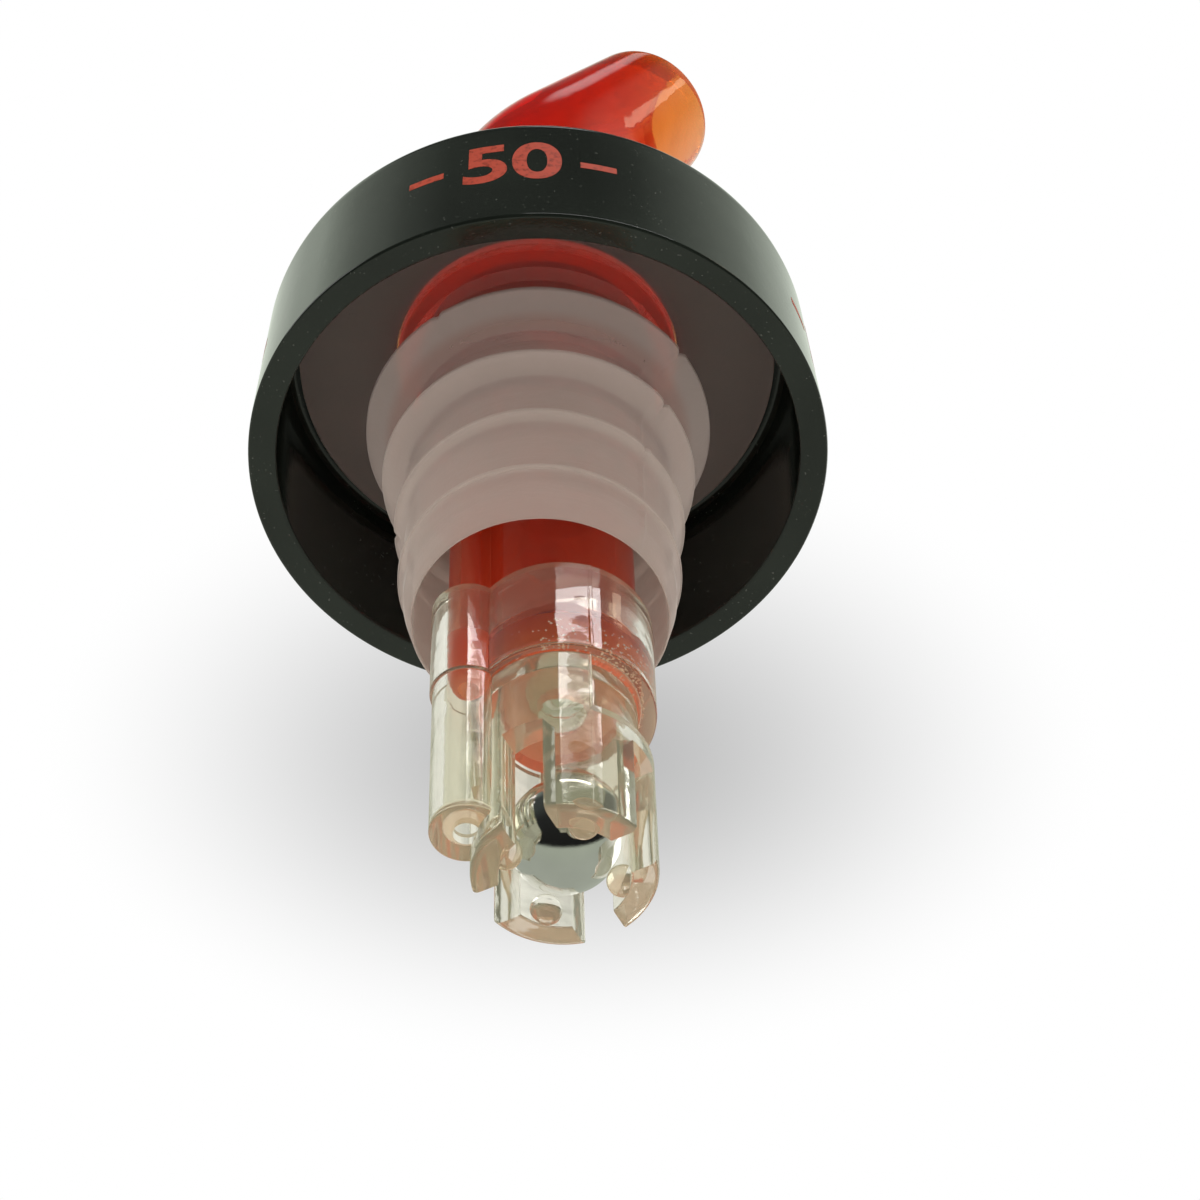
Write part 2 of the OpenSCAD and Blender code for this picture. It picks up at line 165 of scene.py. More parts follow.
class PourerCap(bpy.types.PropertyGroup):
    """The clear cap with its ball cage."""

    __annotations__ = {
        **sizes("sleeve", "sleeve round the ball tube", d=10.8, top=-node_high("cage_cap"), tall=7.7),
        **sizes("orifice", "hole in the floor", bore=2.8),
        **sizes("cage", "cage", d=10.16, bore=7.1, low=-node_low("cage_cap")),
        **sizes("slot", "slots between the fingers", tall=7.45, wide=2.5),
        **sizes("groove", "half groove under the sleeve", tall=4.6, deep=0.78),
        **sizes("nub", "nubs that hold the ball", d=1.8),
        **sizes("air_socket", "air sleeve's socket", d=4.4),
        **sizes("air_sleeve", "air sleeve", d=4.1, bore=2.6, tall=11.6),
        **sizes("air_end", "air sleeve's end", wall=0.8, bore=1.5),
        **sizes("bond", "zone where the tube is bonded in", tall=3.3),
        **sizes("line", "fine parting line down the front", wide=0.12, tall=0.06, deep=0.4),
        **sizes("bubble", "largest bubbles in the bond", d=0.17),
    }
    floor: length("Floor", 1.5, "Thickness of the floor under the ball tube")
    nub_inset: length("Nub inset", 0.25, "How far the nubs' centres stand in from the fingers")
    edge: length("Edge radius", 0.14, "Rounding of the moulded edges")
    tip: length("Finger tip radius", 0.45, "Rounding of the fingers' outer tips")
    bubbles: share("Bubbles", 14, "Bubbles on each square millimetre where they lie close", 1000)
    bubble_patch: length("Bubble patch", 1.4, "Size of the patches that the bubbles lie in")


class PourerStopper(bpy.types.PropertyGroup):
    """The milky finned stopper."""

    __annotations__ = {
        **sizes("flange", "flange", d=node_width("stopper"), tall=node_high("stopper")),
        **sizes("root", "root under the flange", d=17.8, tall=2.2),
        **sizes("stem_top", "stem's top", d=16.6),
        **sizes("stem_low", "stem above its bevelled end", d=16.1),
        **sizes("stem_end", "stem's end", d=15.3, edge=0.12),
        **sizes("seam", "mould seam along the stem", tall=0.16),
        **sizes("nick", "nicks in the fins' edges", deep=0.3),
    }
    end: length("Length", -node_low("stopper"), "Length of the stopper below the seat face")
    bevel: length("Bevel", 1.8, "Height of the bevel at the stem's end")
    corner: length("Corner radius", 0.3, "Radius between flange and root")
    fin_first: length("First fin depth", 7.5, "Depth of the first fin's edge")
    fin_pitch: length("Fin pitch", 5.1, "Spacing of the fins")
    fin_root: length("Fin root", 1.1, "Thickness of a fin where it leaves the stem")
    fin_edge: length("Fin edge", 0.4, "Thickness of a fin at its edge")
    fin_rise: length("Fin rise", 0.9, "How far the first fin's edge stands above its root")


class PourerCollar(bpy.types.PropertyGroup):
    """The black skirted collar and its print."""

    __annotations__ = {
        **sizes("rim", "open rim", d=node_width("collar"), low=-node_low("collar"), edge=0.22),
        **sizes("print", "printed number", tall=4.6),
    }
    draft: length("Draft", 1.4, "Narrowing of the outside from rim to top, on the diameter")
    top_z: length("Top height", node_high("collar"), "Height of the collar's top face")
    wall: length("Wall", 1.74, "Thickness of the skirt")
    ceiling: length("Ceiling", 1.1, "Thickness of the ceiling")
    edge: length("Top edge radius", 1.9, "Rounding of the top edge")
    fillet: length("Corner radius", 0.6, "Radius between skirt and ceiling")
    head_gap: length("Head gap", 0.1, "Gap round the head in the ceiling's hole")
    print_z: length("Print depth", 4.3, "Depth of the print's middle below the seat face")
    print_thick: length("Print thickness", 0.02, "Thickness of the printed ink")
    print_count: bpy.props.IntProperty(
        name="Prints", description="Number of times that the print is repeated round", default=4, min=1)
    print_turn: bpy.props.FloatProperty(
        name="Print turn", description="Direction that the first print faces, from +X",
        default=math.radians(-113), subtype="ANGLE", unit="ROTATION")
    measure: bpy.props.IntProperty(name="Measure", description="Number that is printed", default=50, min=1)


class PourerSpout(bpy.types.PropertyGroup):
    """The clear red spout."""

    __annotations__ = {
        **sizes("foot", "foot", d=17.6, wall=1.8),
        **sizes("mouth", "mouth", d=10.1, wall=0.9),
        **sizes("shoulder", "shoulder", d=node_width("spout", 1), tall=1.2, edge=0.3),
        **sizes("air", "air passage", bore=1.2),
    }
    tilt: bpy.props.FloatProperty(
        name="Lean", description="Lean of the spout's upper part", default=math.radians(27),
        subtype="ANGLE", unit="ROTATION")
    reach: length("Reach", 8.5, "Distance of the mouth's centre from the axis")
    height: length("Height", 37.2, "Height of the mouth's centre above the seat face")
    bend: length("Bend radius", 25, "Radius of the bend in the centreline")
    web: length("Web", 0.9, "Wall between the two passages")
    seat: length("Spigot gap", 0.02, "Gap round the spigot in its socket")
    lip: length("Lip radius", 0.4, "Rounding of the lip")


class PourerFinish(bpy.types.PropertyGroup):
    """Colours of the surfaces."""

    spout_red: colour("Spout red", (0.96, 0.665, 0.08), "Clear red plastic of the spout, in its depth")
    body_red: colour("Body red", (0.915, 0.45, 0.25), "Clear red plastic of the metering body, in its depth")
    bond_glow: colour("Bond glow", (1.0, 0.4, 0.14), "Brighter haze of the red plastic in the bond")
    red_haze: colour("Red haze", (0.82, 0.3, 0.19), "Light that the metering body scatters")
    spout_haze: colour("Spout haze", (0.95, 0.62, 0.3), "Light that the spout's plastic scatters")
    red_skin: colour("Red skin", (1.0, 0.93, 0.9), "Tint that a surface of the red plastic adds")
    red_depth: share("Red depth", 700, "How fast the body darkens with depth, per metre", 5000)
    spout_depth: share("Spout depth", 1500, "How fast the spout darkens with depth, per metre", 5000)
    bond_clear: colour("Bonded clear", (0.98, 0.97, 0.94), "Tint of the clear wall in the bond")
    bond_red: colour("Bonded red", (1.0, 0.93, 0.88), "Tint of the red wall in the bond")
    red_shadow: colour("Red shadow", (0.9, 0.5, 0.4), "Light from the lamps that passes the red plastic")
    bubble: colour("Bubbles", (0.95, 0.8, 0.68), "Skin of the bubbles in the bond")
    bubble_pale: colour("Pale bubbles", (0.98, 0.9, 0.82), "Paler parts of the bubbles' skin")
    bubble_shadow: colour("Bubble shadow", (0.95, 0.85, 0.75), "Light from the lamps that passes a bubble")
    clear: colour("Clear plastic", (0.89, 0.88, 0.78), "Clear plastic of the cap")
    clear_rim: colour("Clear plastic's rims", (0.6, 0.57, 0.46), "Light that the clear plastic scatters")
    # Painted glow: a warm tint on the faces that point down, for the red light that the clear walls carry
    # from the tube
    clear_end: colour("Clear plastic's ends", (0.7, 0.46, 0.34), "Warm light that leaves at the end faces")
    milky: colour("Milky plastic", (0.86, 0.86, 0.82), "Soft plastic of the stopper")
    milky_core: colour("Milky over red", (0.6, 0.26, 0.22), "The stopper where the red plug shows through it")
    milky_flange: colour("Milky over black", (0.3, 0.24, 0.2), "The flange, which the collar darkens")
    # Painted shade: a darker tone for the collar's shade, which the stopper takes on as a whole
    milky_shade: colour("Milky in the shade", (0.5, 0.36, 0.31), "Tone that the stopper takes on as a whole")
    # Painted sheen: a lighter tone where the stopper is seen at a slant
    milky_edge: colour("Milky edges", (0.95, 0.93, 0.9), "The stopper's plastic seen at a slant")
    milky_window: colour("Seen through milky", (0.96, 0.95, 0.93), "Tint of what shows through the stopper")
    black: colour("Black plastic", (0.0045, 0.0055, 0.0042), "Black plastic of the collar")
    dust: colour("Dust", (0.16, 0.16, 0.14), "Dust on the black plastic")
    ink: colour("Print", (0.44, 0.057, 0.03), "Ink of the print")
    steel: colour("Steel", (0.8, 0.8, 0.78), "Polished balls")


class PourerStage(bpy.types.PropertyGroup):
    """Camera, lamps and background."""

    focal: share("Focal length", 102, "Focal length in millimetres on a 36 mm sensor", 1000)
    floor_size: length("Floor size", 3000, "Width of the floor")
    floor_tone: colour("Floor", (0.94, 0.9, 0.95), "Darker parts of the floor")
    floor_pale: colour("Pale floor", (0.97, 0.93, 0.98), "Paler parts of the floor")
    lamp_power: share("Lamp power", 1.0, "Power of all the lamps together", 10)
    fill: share("Fill", 1.0, "Strength of the light from all round", 4)


SETTINGS = {
    "pourer_tubes": PourerTubes,
    "pourer_cap": PourerCap,
    "pourer_stopper": PourerStopper,
    "pourer_collar": PourerCollar,
    "pourer_spout": PourerSpout,
    "pourer_finish": PourerFinish,
    "pourer_stage": PourerStage,
}

# Shared mesh tools


def solid(name, verts, faces):
    """A mesh object from plain lists, with its faces turned outwards."""
    mesh = bpy.data.meshes.new(name)
    mesh.from_pydata(verts, [], faces)
    bm = bmesh.new()
    bm.from_mesh(mesh)
    bmesh.ops.recalc_face_normals(bm, faces=bm.faces)
    bm.to_mesh(mesh)
    bm.free()
    piece = bpy.data.objects.new(name, mesh)
    bpy.context.scene.collection.objects.link(piece)
    return piece


def lathe(name, outline, sides, centre_x=0.0, shift=None):
    """Turns a closed outline of (radius, height) points about the upright line through centre_x."""
    verts, faces, rows = [], [], []
    for r, z in outline:
        if r == 0:
            rows.append([len(verts)] * sides)
            verts.append((centre_x, 0, z))
            continue
        rows.append([len(verts) + i for i in range(sides)])
        for i in range(sides):
            turn = 2 * math.pi * i / sides
            rr, zz = (r, z) if shift is None else shift(r, z, turn)
            verts.append((centre_x + rr * math.cos(turn), rr * math.sin(turn), zz))
    for k, row in enumerate(rows):
        other = rows[(k + 1) % len(rows)]
        if row[0] == row[1] and other[0] == other[1]:
            continue
        for i in range(sides):
            j = (i + 1) % sides
            ring = [row[i], row[j], other[j], other[i]]
            faces.append([v for n, v in enumerate(ring) if v != ring[n - 1]])
    return solid(name, verts, faces)


def arc(x, z, r, start, end, steps=6):
    """Points of an arc about (x, z), with the angles in degrees."""
    turns = [math.radians(start + (end - start) * i / steps) for i in range(steps + 1)]
    return [(x + r * math.cos(t), z + r * math.sin(t)) for t in turns]


def rod(name, x, r, low, high, edge_low=0.0, edge_high=0.0, sides=144):
    """An upright cylinder at x, with its ends rounded by the given radii."""
    outline = [(0, low)]
    outline += arc(r - edge_low, low + edge_low, edge_low, -90, 0) if edge_low else [(r, low)]
    outline += arc(r - edge_high, high - edge_high, edge_high, 0, 90) if edge_high else [(r, high)]
    outline += [(0, high)]
    return lathe(name, outline, sides, x)


def walls(count, n):
    """The faces that join a row of rings of n points each."""
    return [
        [j * n + i, j * n + (i + 1) % n, (j + 1) * n + (i + 1) % n, (j + 1) * n + i]
        for j in range(count - 1) for i in range(n)
    ]


def stack(name, rings):
    """A closed solid through a row of rings."""
    verts = [p for ring in rings for p in ring]
    n = len(rings[0])
    ends = [list(range(n)), [len(verts) - 1 - i for i in range(n)]]
    return solid(name, verts, walls(len(rings), n) + ends)


def open_rings(name, outline, sides):
    """An open surface: the outline of (radius, height) points turned about the Z axis."""
    turns = [2 * math.pi * i / sides for i in range(sides)]
    verts = [(r * math.cos(a), r * math.sin(a), z) for r, z in outline for a in turns]
    return solid(name, verts, walls(len(outline), sides))


def block(name, low, high):
    """A box between two corners."""
    corners = [(x, y, z) for x in (low[0], high[0]) for y in (low[1], high[1]) for z in (low[2], high[2])]
    sides = [(0, 1, 3, 2), (4, 6, 7, 5), (0, 4, 5, 1), (2, 3, 7, 6), (0, 2, 6, 4), (1, 5, 7, 3)]
    return solid(name, corners, sides)


def place(piece, matrix):
    """Moves the mesh itself, so that the object stays at the origin."""
    piece.data.transform(matrix)
    return piece


def combine(piece, others, operation):
    """Adds the others to the piece, or cuts them from it, and deletes them."""
    for other in others:
        step = piece.modifiers.new("step", "BOOLEAN")
        step.operation = operation
        step.solver = "MANIFOLD"
        step.object = other
        bake_modifiers(piece)
        bpy.data.objects.remove(other)


def bake_modifiers(piece):
    """Turns what the modifiers show into the piece's own mesh."""
    seen = piece.evaluated_get(bpy.context.evaluated_depsgraph_get())
    mesh = bpy.data.meshes.new_from_object(seen)
    piece.modifiers.clear()
    old = piece.data
    piece.data = mesh
    bpy.data.meshes.remove(old)


def finish_piece(piece, material, body, slot, *nodes, angle=SMOOTH_ANGLE):
    """Shades the piece, gives it the named material, and lets it stand for its CAD nodes."""
    mesh = piece.data
    mesh.materials.clear()
    mesh.materials.append(material_of(material))
    for face in mesh.polygons:
        face.material_index = 0
    mesh.shade_smooth()
    mesh.set_sharp_from_angle(angle=angle)
    step = piece.modifiers.new("step", "WEIGHTED_NORMAL")
    step.mode = "FACE_AREA"
    step.keep_sharp = True
    bake_modifiers(piece)
    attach(piece, body)
    if nodes:
        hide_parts(*nodes)


# Shared node tools


class Graph:
    """A short way to build a node tree: add a node, set its sockets and link them."""

    def __init__(self, tree):
        self.tree = tree

    def add(self, kind, settings=None, **sockets):
        """A node. A socket goes by its name, with _ for each space, or by its number, as _0 and so on."""
        made = self.tree.nodes.new(kind)
        for key, value in (settings or {}).items():
            setattr(made, key, value)
        for key, value in sockets.items():
            self.put(made.inputs[int(key[1:]) if key[1:].isdigit() else key.replace("_", " ")], value)
        return made

    def put(self, socket, value):
        if isinstance(value, bpy.types.NodeSocket):
            self.tree.links.new(value, socket)
        elif isinstance(value, bpy.types.Node):
            self.tree.links.new(value.outputs[0], socket)
        else:
            socket.default_value = value

    def maths(self, operation, a, b=0.0):
        return self.add("ShaderNodeMath", {"operation": operation}, _0=a, _1=b)

    def product(self, first, *others):
        for other in others:
            first = self.maths("MULTIPLY", first, other)
        return first

    def distance(self, a, b):
        """The length of the vector (a, b)."""
        return self.maths("SQRT", self.maths("ADD", self.product(a, a), self.product(b, b)))

    def dot(self, a, b):
        made = self.add("ShaderNodeVectorMath", {"operation": "DOT_PRODUCT"}, _0=a, _1=b)
        return made.outputs["Value"]

    def parts(self, vector):
        """The vector's X, Y and Z."""
        return self.add("ShaderNodeSeparateXYZ", Vector=vector).outputs

    def mix(self, factor, a, b):
        return self.add("ShaderNodeMixShader", _0=factor, _1=a, _2=b)

    def noise(self, where, scale, detail=3.0, rough=0.5, distortion=0.0):
        return self.add(
            "ShaderNodeTexNoise", Vector=where, Scale=scale, Detail=detail, Roughness=rough,
            Distortion=distortion).outputs["Fac"]

    def span(self, value, low, high, to_low=0.0, to_high=1.0, smooth=True):
        return self.add(
            "ShaderNodeMapRange", {"interpolation_type": "SMOOTHSTEP" if smooth else "LINEAR"},
            Value=value, _1=low, _2=high, _3=to_low, _4=to_high).outputs[0]

    def blend(self, factor, a, b, kind="MIX"):
        made = self.add("ShaderNodeMix", {"data_type": "RGBA", "blend_type": kind})
        for socket, value in zip((made.inputs[0], made.inputs[6], made.inputs[7]), (factor, a, b)):
            self.put(socket, value)
        return made.outputs[2]

    def bump(self, height, depth):
        return self.add("ShaderNodeBump", Strength=1.0, Distance=depth, Height=height).outputs[0]


def new_tree(name, inputs):
    """An empty Geometry Nodes tree with the given inputs, its graph and its input sockets."""
    tree = bpy.data.node_groups.new(name, "GeometryNodeTree")
    for label, kind in inputs:
        tree.interface.new_socket(label, in_out="INPUT", socket_type="NodeSocket" + kind)
    tree.interface.new_socket("Geometry", in_out="OUTPUT", socket_type="NodeSocketGeometry")
    graph = Graph(tree)
    return tree, graph, graph.add("NodeGroupInput").outputs


def end_tree(graph, given, instances):
    """Makes the instances real, gives them the tree's material and sends them out."""
    real = graph.add("GeometryNodeRealizeInstances", Geometry=instances)
    painted = graph.add("GeometryNodeSetMaterial", Geometry=real, Material=given["Material"])
    graph.add("NodeGroupOutput", Geometry=painted)


def run_nodes(piece, tree, values):
    """Sets the tree's inputs by name and turns what it makes into the piece's own mesh."""
    step = piece.modifiers.new("nodes", "NODES")
    step.node_group = tree
    for socket in tree.interface.items_tree:
        if socket.name in values:
            step[socket.identifier] = values[socket.name]
    bake_modifiers(piece)


def new_material(name):
    """An empty material and its graph, with the object's own coordinates and its output."""
    material = bpy.data.materials.new(name)
    material.use_nodes = True
    material.node_tree.nodes.clear()
    graph = Graph(material.node_tree)
    where = graph.add("ShaderNodeTexCoord").outputs["Object"]
    output = graph.add("ShaderNodeOutputMaterial")
    return material, graph, where, output


def stretched(graph, where, scale):
    """The coordinates scaled unevenly, for a pattern that runs one way."""
    return graph.add("ShaderNodeMapping", Vector=where, Scale=scale).outputs[0]


def rgba(values, factor=1.0):
    return tuple(v * factor for v in values) + (1.0,)


def mottled(graph, pattern, low, high, tone, factor):
    """The tone, made darker or lighter by the factor where the pattern is strong."""
    return graph.blend(graph.span(pattern, low, high), rgba(tone), rgba(tone, factor))


def let_lamps_through(graph, shader, tint, output):
    """Lets light from the lamps pass a clear surface, tinted, instead of stopping at it."""
    path = graph.add("ShaderNodeLightPath").outputs["Is Shadow Ray"]
    window = graph.add("ShaderNodeBsdfTransparent", Color=rgba(tint))
    graph.put(output.inputs["Surface"], graph.mix(path, shader, window))


def flow_bump(graph, where, depth, scale):
    """Faint waves that a moulded clear surface has."""
    waves = graph.noise(where, scale, 2.0, 0.4, 0.6)
    fine = graph.noise(where, scale * 9, 2.0, 0.5)
    return graph.bump(graph.maths("ADD", waves, graph.product(fine, 0.05)), depth)


# The bond between tube and sleeve: how far it reaches out of the tube's wall, how far it stays off the bore
# and off the tube's end, the height of the waves in its upper edge, and the haze of the red plastic in it
BOND_OUT = 0.12 * MM
BOND_OFF_BORE = 0.2 * MM
BOND_OFF_END = 0.3 * MM
BOND_WAVES = 2.2 * MM
BOND_HAZE = 0.78


def bond_mask(graph, where, scene):
    """1 on the walls between tube and sleeve in the bonded zone, which has a wavy upper edge."""
    tubes = scene.pourer_tubes
    x, y, z = graph.parts(where)
    off_tube = graph.distance(graph.maths("SUBTRACT", x, tubes.tube_x), y)
    waves = graph.maths("SUBTRACT", graph.noise(where, 330, 3.0, 0.55), 0.5)
    top = graph.maths("ADD", -tubes.tube_end + scene.pourer_cap.bond_tall, graph.product(waves, BOND_WAVES))
    return graph.product(
        graph.maths("LESS_THAN", off_tube, tubes.tube_d / 2 + BOND_OUT),
        graph.maths("GREATER_THAN", off_tube, tubes.tube_bore / 2 + BOND_OFF_BORE),
        graph.maths("LESS_THAN", z, top),
        graph.maths("GREATER_THAN", z, -tubes.tube_end + BOND_OFF_END))


def clear_plastic(name, scene):
    """Clear moulded plastic, hazy along its rims, with a painted warm glow on its down-facing ends, and index
    matched where the tube is bonded in.
    """
    finish, tube_end = scene.pourer_finish, scene.pourer_tubes.tube_end
    material, graph, where, output = new_material(name)
    smears = graph.noise(where, 420, 4.0, 0.6, 0.8)
    clouds = graph.noise(where, 150, 3.0, 0.5)
    shader = graph.add(
        "ShaderNodeBsdfPrincipled", IOR=1.49, Transmission_Weight=0.985,
        Roughness=graph.span(smears, 0.35, 0.75, 0.015, 0.07),
        Normal=flow_bump(graph, where, 0.05 * MM, 260),
        Base_Color=mottled(graph, clouds, 0.3, 0.75, finish.clear, 0.93))
    rise = graph.parts(graph.add("ShaderNodeNewGeometry").outputs["Normal"])[2]
    # Painted glow: faces that point down take the warm end tint, for the red light carried from the tube
    ends = graph.span(rise, -0.15, -0.7)
    scatter = graph.add("ShaderNodeBsdfTranslucent", Color=graph.blend(
        ends, rgba(finish.clear_rim), rgba(finish.clear_end)))
    slant = graph.add("ShaderNodeLayerWeight", Blend=0.3).outputs["Facing"]
    edges = graph.span(slant, 0.35, 1.0, 0.0, 0.6)
    rims = graph.span(graph.maths("ABSOLUTE", rise), 0.15, 0.6, 0.0, 0.28)
    below_tube = graph.span(graph.parts(where)[2], -tube_end, -tube_end - 2 * MM, 0.0, 0.06)
    haze = graph.maths("ADD", graph.maths("ADD", edges, rims), below_tube)
    window = graph.add("ShaderNodeBsdfTransparent", Color=rgba(finish.bond_clear))
    skin = graph.mix(bond_mask(graph, where, scene), graph.mix(haze, shader, scatter), window)
    let_lamps_through(graph, skin, finish.clear, output)
    return material


def red_plastic(name, scene, tint, density, haze_tint, haze, bonded):
    """Clear red plastic with streaks along the flow, brighter and index matched where it is bonded in."""
    finish = scene.pourer_finish
    material, graph, where, output = new_material(name)
    streaks = graph.noise(stretched(graph, where, (1, 1, 0.12)), 700, 3.0, 0.55, 0.3)
    shader = graph.add(
        "ShaderNodeBsdfPrincipled", IOR=1.5, Transmission_Weight=1.0,
        Roughness=graph.span(streaks, 0.3, 0.8, 0.02, 0.09),
        Normal=flow_bump(graph, where, 0.03 * MM, 210),
        Base_Color=mottled(graph, streaks, 0.35, 0.7, finish.red_skin, 0.82))
    depth = graph.add("ShaderNodeVolumeAbsorption", Color=rgba(tint), Density=density)
    graph.put(output.inputs["Volume"], depth)
    scatter = graph.add("ShaderNodeBsdfTranslucent", Color=rgba(haze_tint))
    skin = graph.mix(haze, shader, scatter)
    if bonded:
        top = -scene.pourer_tubes.tube_end + scene.pourer_cap.bond_tall
        lit = graph.maths("LESS_THAN", graph.parts(where)[2], top)
        graph.put(scatter.inputs["Color"], graph.blend(lit, rgba(haze_tint), rgba(finish.bond_glow)))
        graph.put(skin.inputs[0], graph.span(lit, 0.0, 1.0, haze, BOND_HAZE))
        window = graph.add("ShaderNodeBsdfTransparent", Color=rgba(finish.bond_red))
        skin = graph.mix(bond_mask(graph, where, scene), skin, window)
    let_lamps_through(graph, skin, finish.red_shadow, output)
    return material


def spout_plastic(name, scene):
    finish = scene.pourer_finish
    return red_plastic(
        name, scene, finish.spout_red, finish.spout_depth, finish.spout_haze, haze=0.2, bonded=False)


def body_plastic(name, scene):
    finish = scene.pourer_finish
    return red_plastic(
        name, scene, finish.body_red, finish.red_depth, finish.red_haze, haze=0.3, bonded=True)


# How far the stopper takes on its painted shade, a darker tone for the collar's shade, and how much of its
# light comes from behind
MILKY_PAINTED_SHADE = 0.72
MILKY_GLOW = 0.45


def milky_plastic(name, scene):
    """Soft translucent plastic: what lies behind shows through it, less so at a slant. Its tone has a painted
    shade and, at a slant, a painted sheen.
    """
    finish, tubes = scene.pourer_finish, scene.pourer_tubes
    material, graph, where, output = new_material(name)
    clouds = graph.noise(where, 190, 4.0, 0.6)
    rings = graph.noise(stretched(graph, where, (0.15, 0.15, 1)), 2600, 2.0, 0.5)
    grain = graph.noise(where, 3800, 2.0, 0.6)
    normal = graph.bump(graph.maths("ADD", graph.product(rings, 0.6), graph.product(grain, 0.4)), 0.03 * MM)
    x, y, z = graph.parts(where)
    off_axis = graph.distance(x, y)
    inner = tubes.head_d / 2
    outer = inner + 0.8 * MM
    core = graph.product(
        graph.span(z, -tubes.plug_end - 2 * MM, -5 * MM), graph.span(off_axis, outer, inner))
    flange = graph.product(graph.span(z, -2 * MM, -0.3 * MM), graph.span(off_axis, inner, outer), 0.6)
    # Painted sheen: this slant also makes the tone lighter where the surface is seen at a slant
    slant = graph.add("ShaderNodeLayerWeight", Blend=0.35, Normal=normal).outputs["Facing"]
    tone = mottled(graph, clouds, 0.3, 0.75, finish.milky, 0.9)
    # Painted shade: the whole stopper takes on a darker tone for the collar's shade
    for amount, other in (
            (core, finish.milky_core), (flange, finish.milky_flange), (MILKY_PAINTED_SHADE, finish.milky_shade),
            (graph.span(slant, 0.7, 1.0, 0.0, 0.6), finish.milky_edge)):
        tone = graph.blend(amount, tone, rgba(other))
    shader = graph.add(
        "ShaderNodeBsdfPrincipled", IOR=1.42, Specular_IOR_Level=0.35, Base_Color=tone, Normal=normal,
        Roughness=graph.span(clouds, 0.3, 0.7, 0.42, 0.55))
    glow = graph.add("ShaderNodeBsdfTranslucent", Color=tone, Normal=normal)
    window = graph.add("ShaderNodeBsdfTransparent", Color=rgba(finish.milky_window))
    open_share = graph.span(slant, 0.0, 0.9, 0.58, 0.22)
    graph.put(output.inputs["Surface"], graph.mix(open_share, graph.mix(MILKY_GLOW, shader, glow), window))
    return material


def black_plastic(name, scene):
    """Gloss black moulded plastic with a faint grain, fine scuffs and dust."""
    finish = scene.pourer_finish
    material, graph, where, output = new_material(name)
    grain = graph.noise(where, 2400, 3.0, 0.6)
    waves = graph.noise(where, 120, 2.0, 0.5)
    scuffs = graph.noise(stretched(graph, where, (1, 1, 14)), 900, 4.0, 0.7, 1.2)
    dust = graph.span(graph.noise(where, 5200, 1.0, 0.3), 0.73, 0.78)
    tone = mottled(graph, waves, 0.3, 0.7, finish.black, 1.7)
    graph.put(output.inputs["Surface"], graph.add(
        "ShaderNodeBsdfPrincipled", IOR=1.5, Roughness=graph.span(scuffs, 0.35, 0.8, 0.045, 0.1),
        Normal=graph.bump(graph.maths("ADD", graph.product(waves, 6.0), grain), 0.006 * MM),
        Base_Color=graph.blend(graph.product(dust, 0.35), tone, rgba(finish.dust))))
    return material


def bubble_skin(name, scene):
    """The bright skin of a bubble caught in the bond."""
    finish = scene.pourer_finish
    material, graph, where, output = new_material(name)
    film = graph.noise(where, 5200, 2.0, 0.5)
    shader = graph.add(
        "ShaderNodeBsdfPrincipled", IOR=1.33, Transmission_Weight=0.45,
        Roughness=graph.span(film, 0.3, 0.7, 0.04, 0.2),
        Base_Color=graph.blend(film, rgba(finish.bubble), rgba(finish.bubble_pale)))
    let_lamps_through(graph, shader, finish.bubble_shadow, output)
    return material


def print_ink(name, scene):
    """Printed ink with small thin spots."""
    ink = scene.pourer_finish.ink
    material, graph, where, output = new_material(name)
    spots = graph.noise(where, 2600, 3.0, 0.65)
    graph.put(output.inputs["Surface"], graph.add(
        "ShaderNodeBsdfPrincipled", Specular_IOR_Level=0.2, Roughness=graph.span(spots, 0.3, 0.7, 0.35, 0.5),
        Normal=graph.bump(spots, 0.01 * MM),
        Base_Color=graph.blend(graph.span(spots, 0.3, 0.52), rgba(ink, 0.45), rgba(ink))))
    return material


def polished_steel(name, scene):
    """Polished steel with hairline marks."""
    material, graph, where, output = new_material(name)
    marks = graph.noise(stretched(graph, where, (1, 6, 1)), 3000, 3.0, 0.7, 2.0)
    film = graph.noise(where, 260, 3.0, 0.5)
    graph.put(output.inputs["Surface"], graph.add(
        "ShaderNodeBsdfPrincipled", Metallic=1.0, Roughness=graph.span(film, 0.3, 0.75, 0.02, 0.07),
        Normal=graph.bump(marks, 0.0015 * MM),
        Base_Color=mottled(graph, film, 0.3, 0.7, scene.pourer_finish.steel, 0.9)))
    return material


MAKERS = {
    "clear_plastic": clear_plastic,
    "red_plastic_spout": spout_plastic,
    "red_plastic_body": body_plastic,
    "milky_plastic": milky_plastic,
    "black_plastic": black_plastic,
    "print_ink": print_ink,
    "bubble": bubble_skin,
    "polished_steel": polished_steel,
}


def material_of(name):
    """The named material, made on first use."""
    return bpy.data.materials.get(name) or MAKERS[name](name, bpy.context.scene)


# Pieces


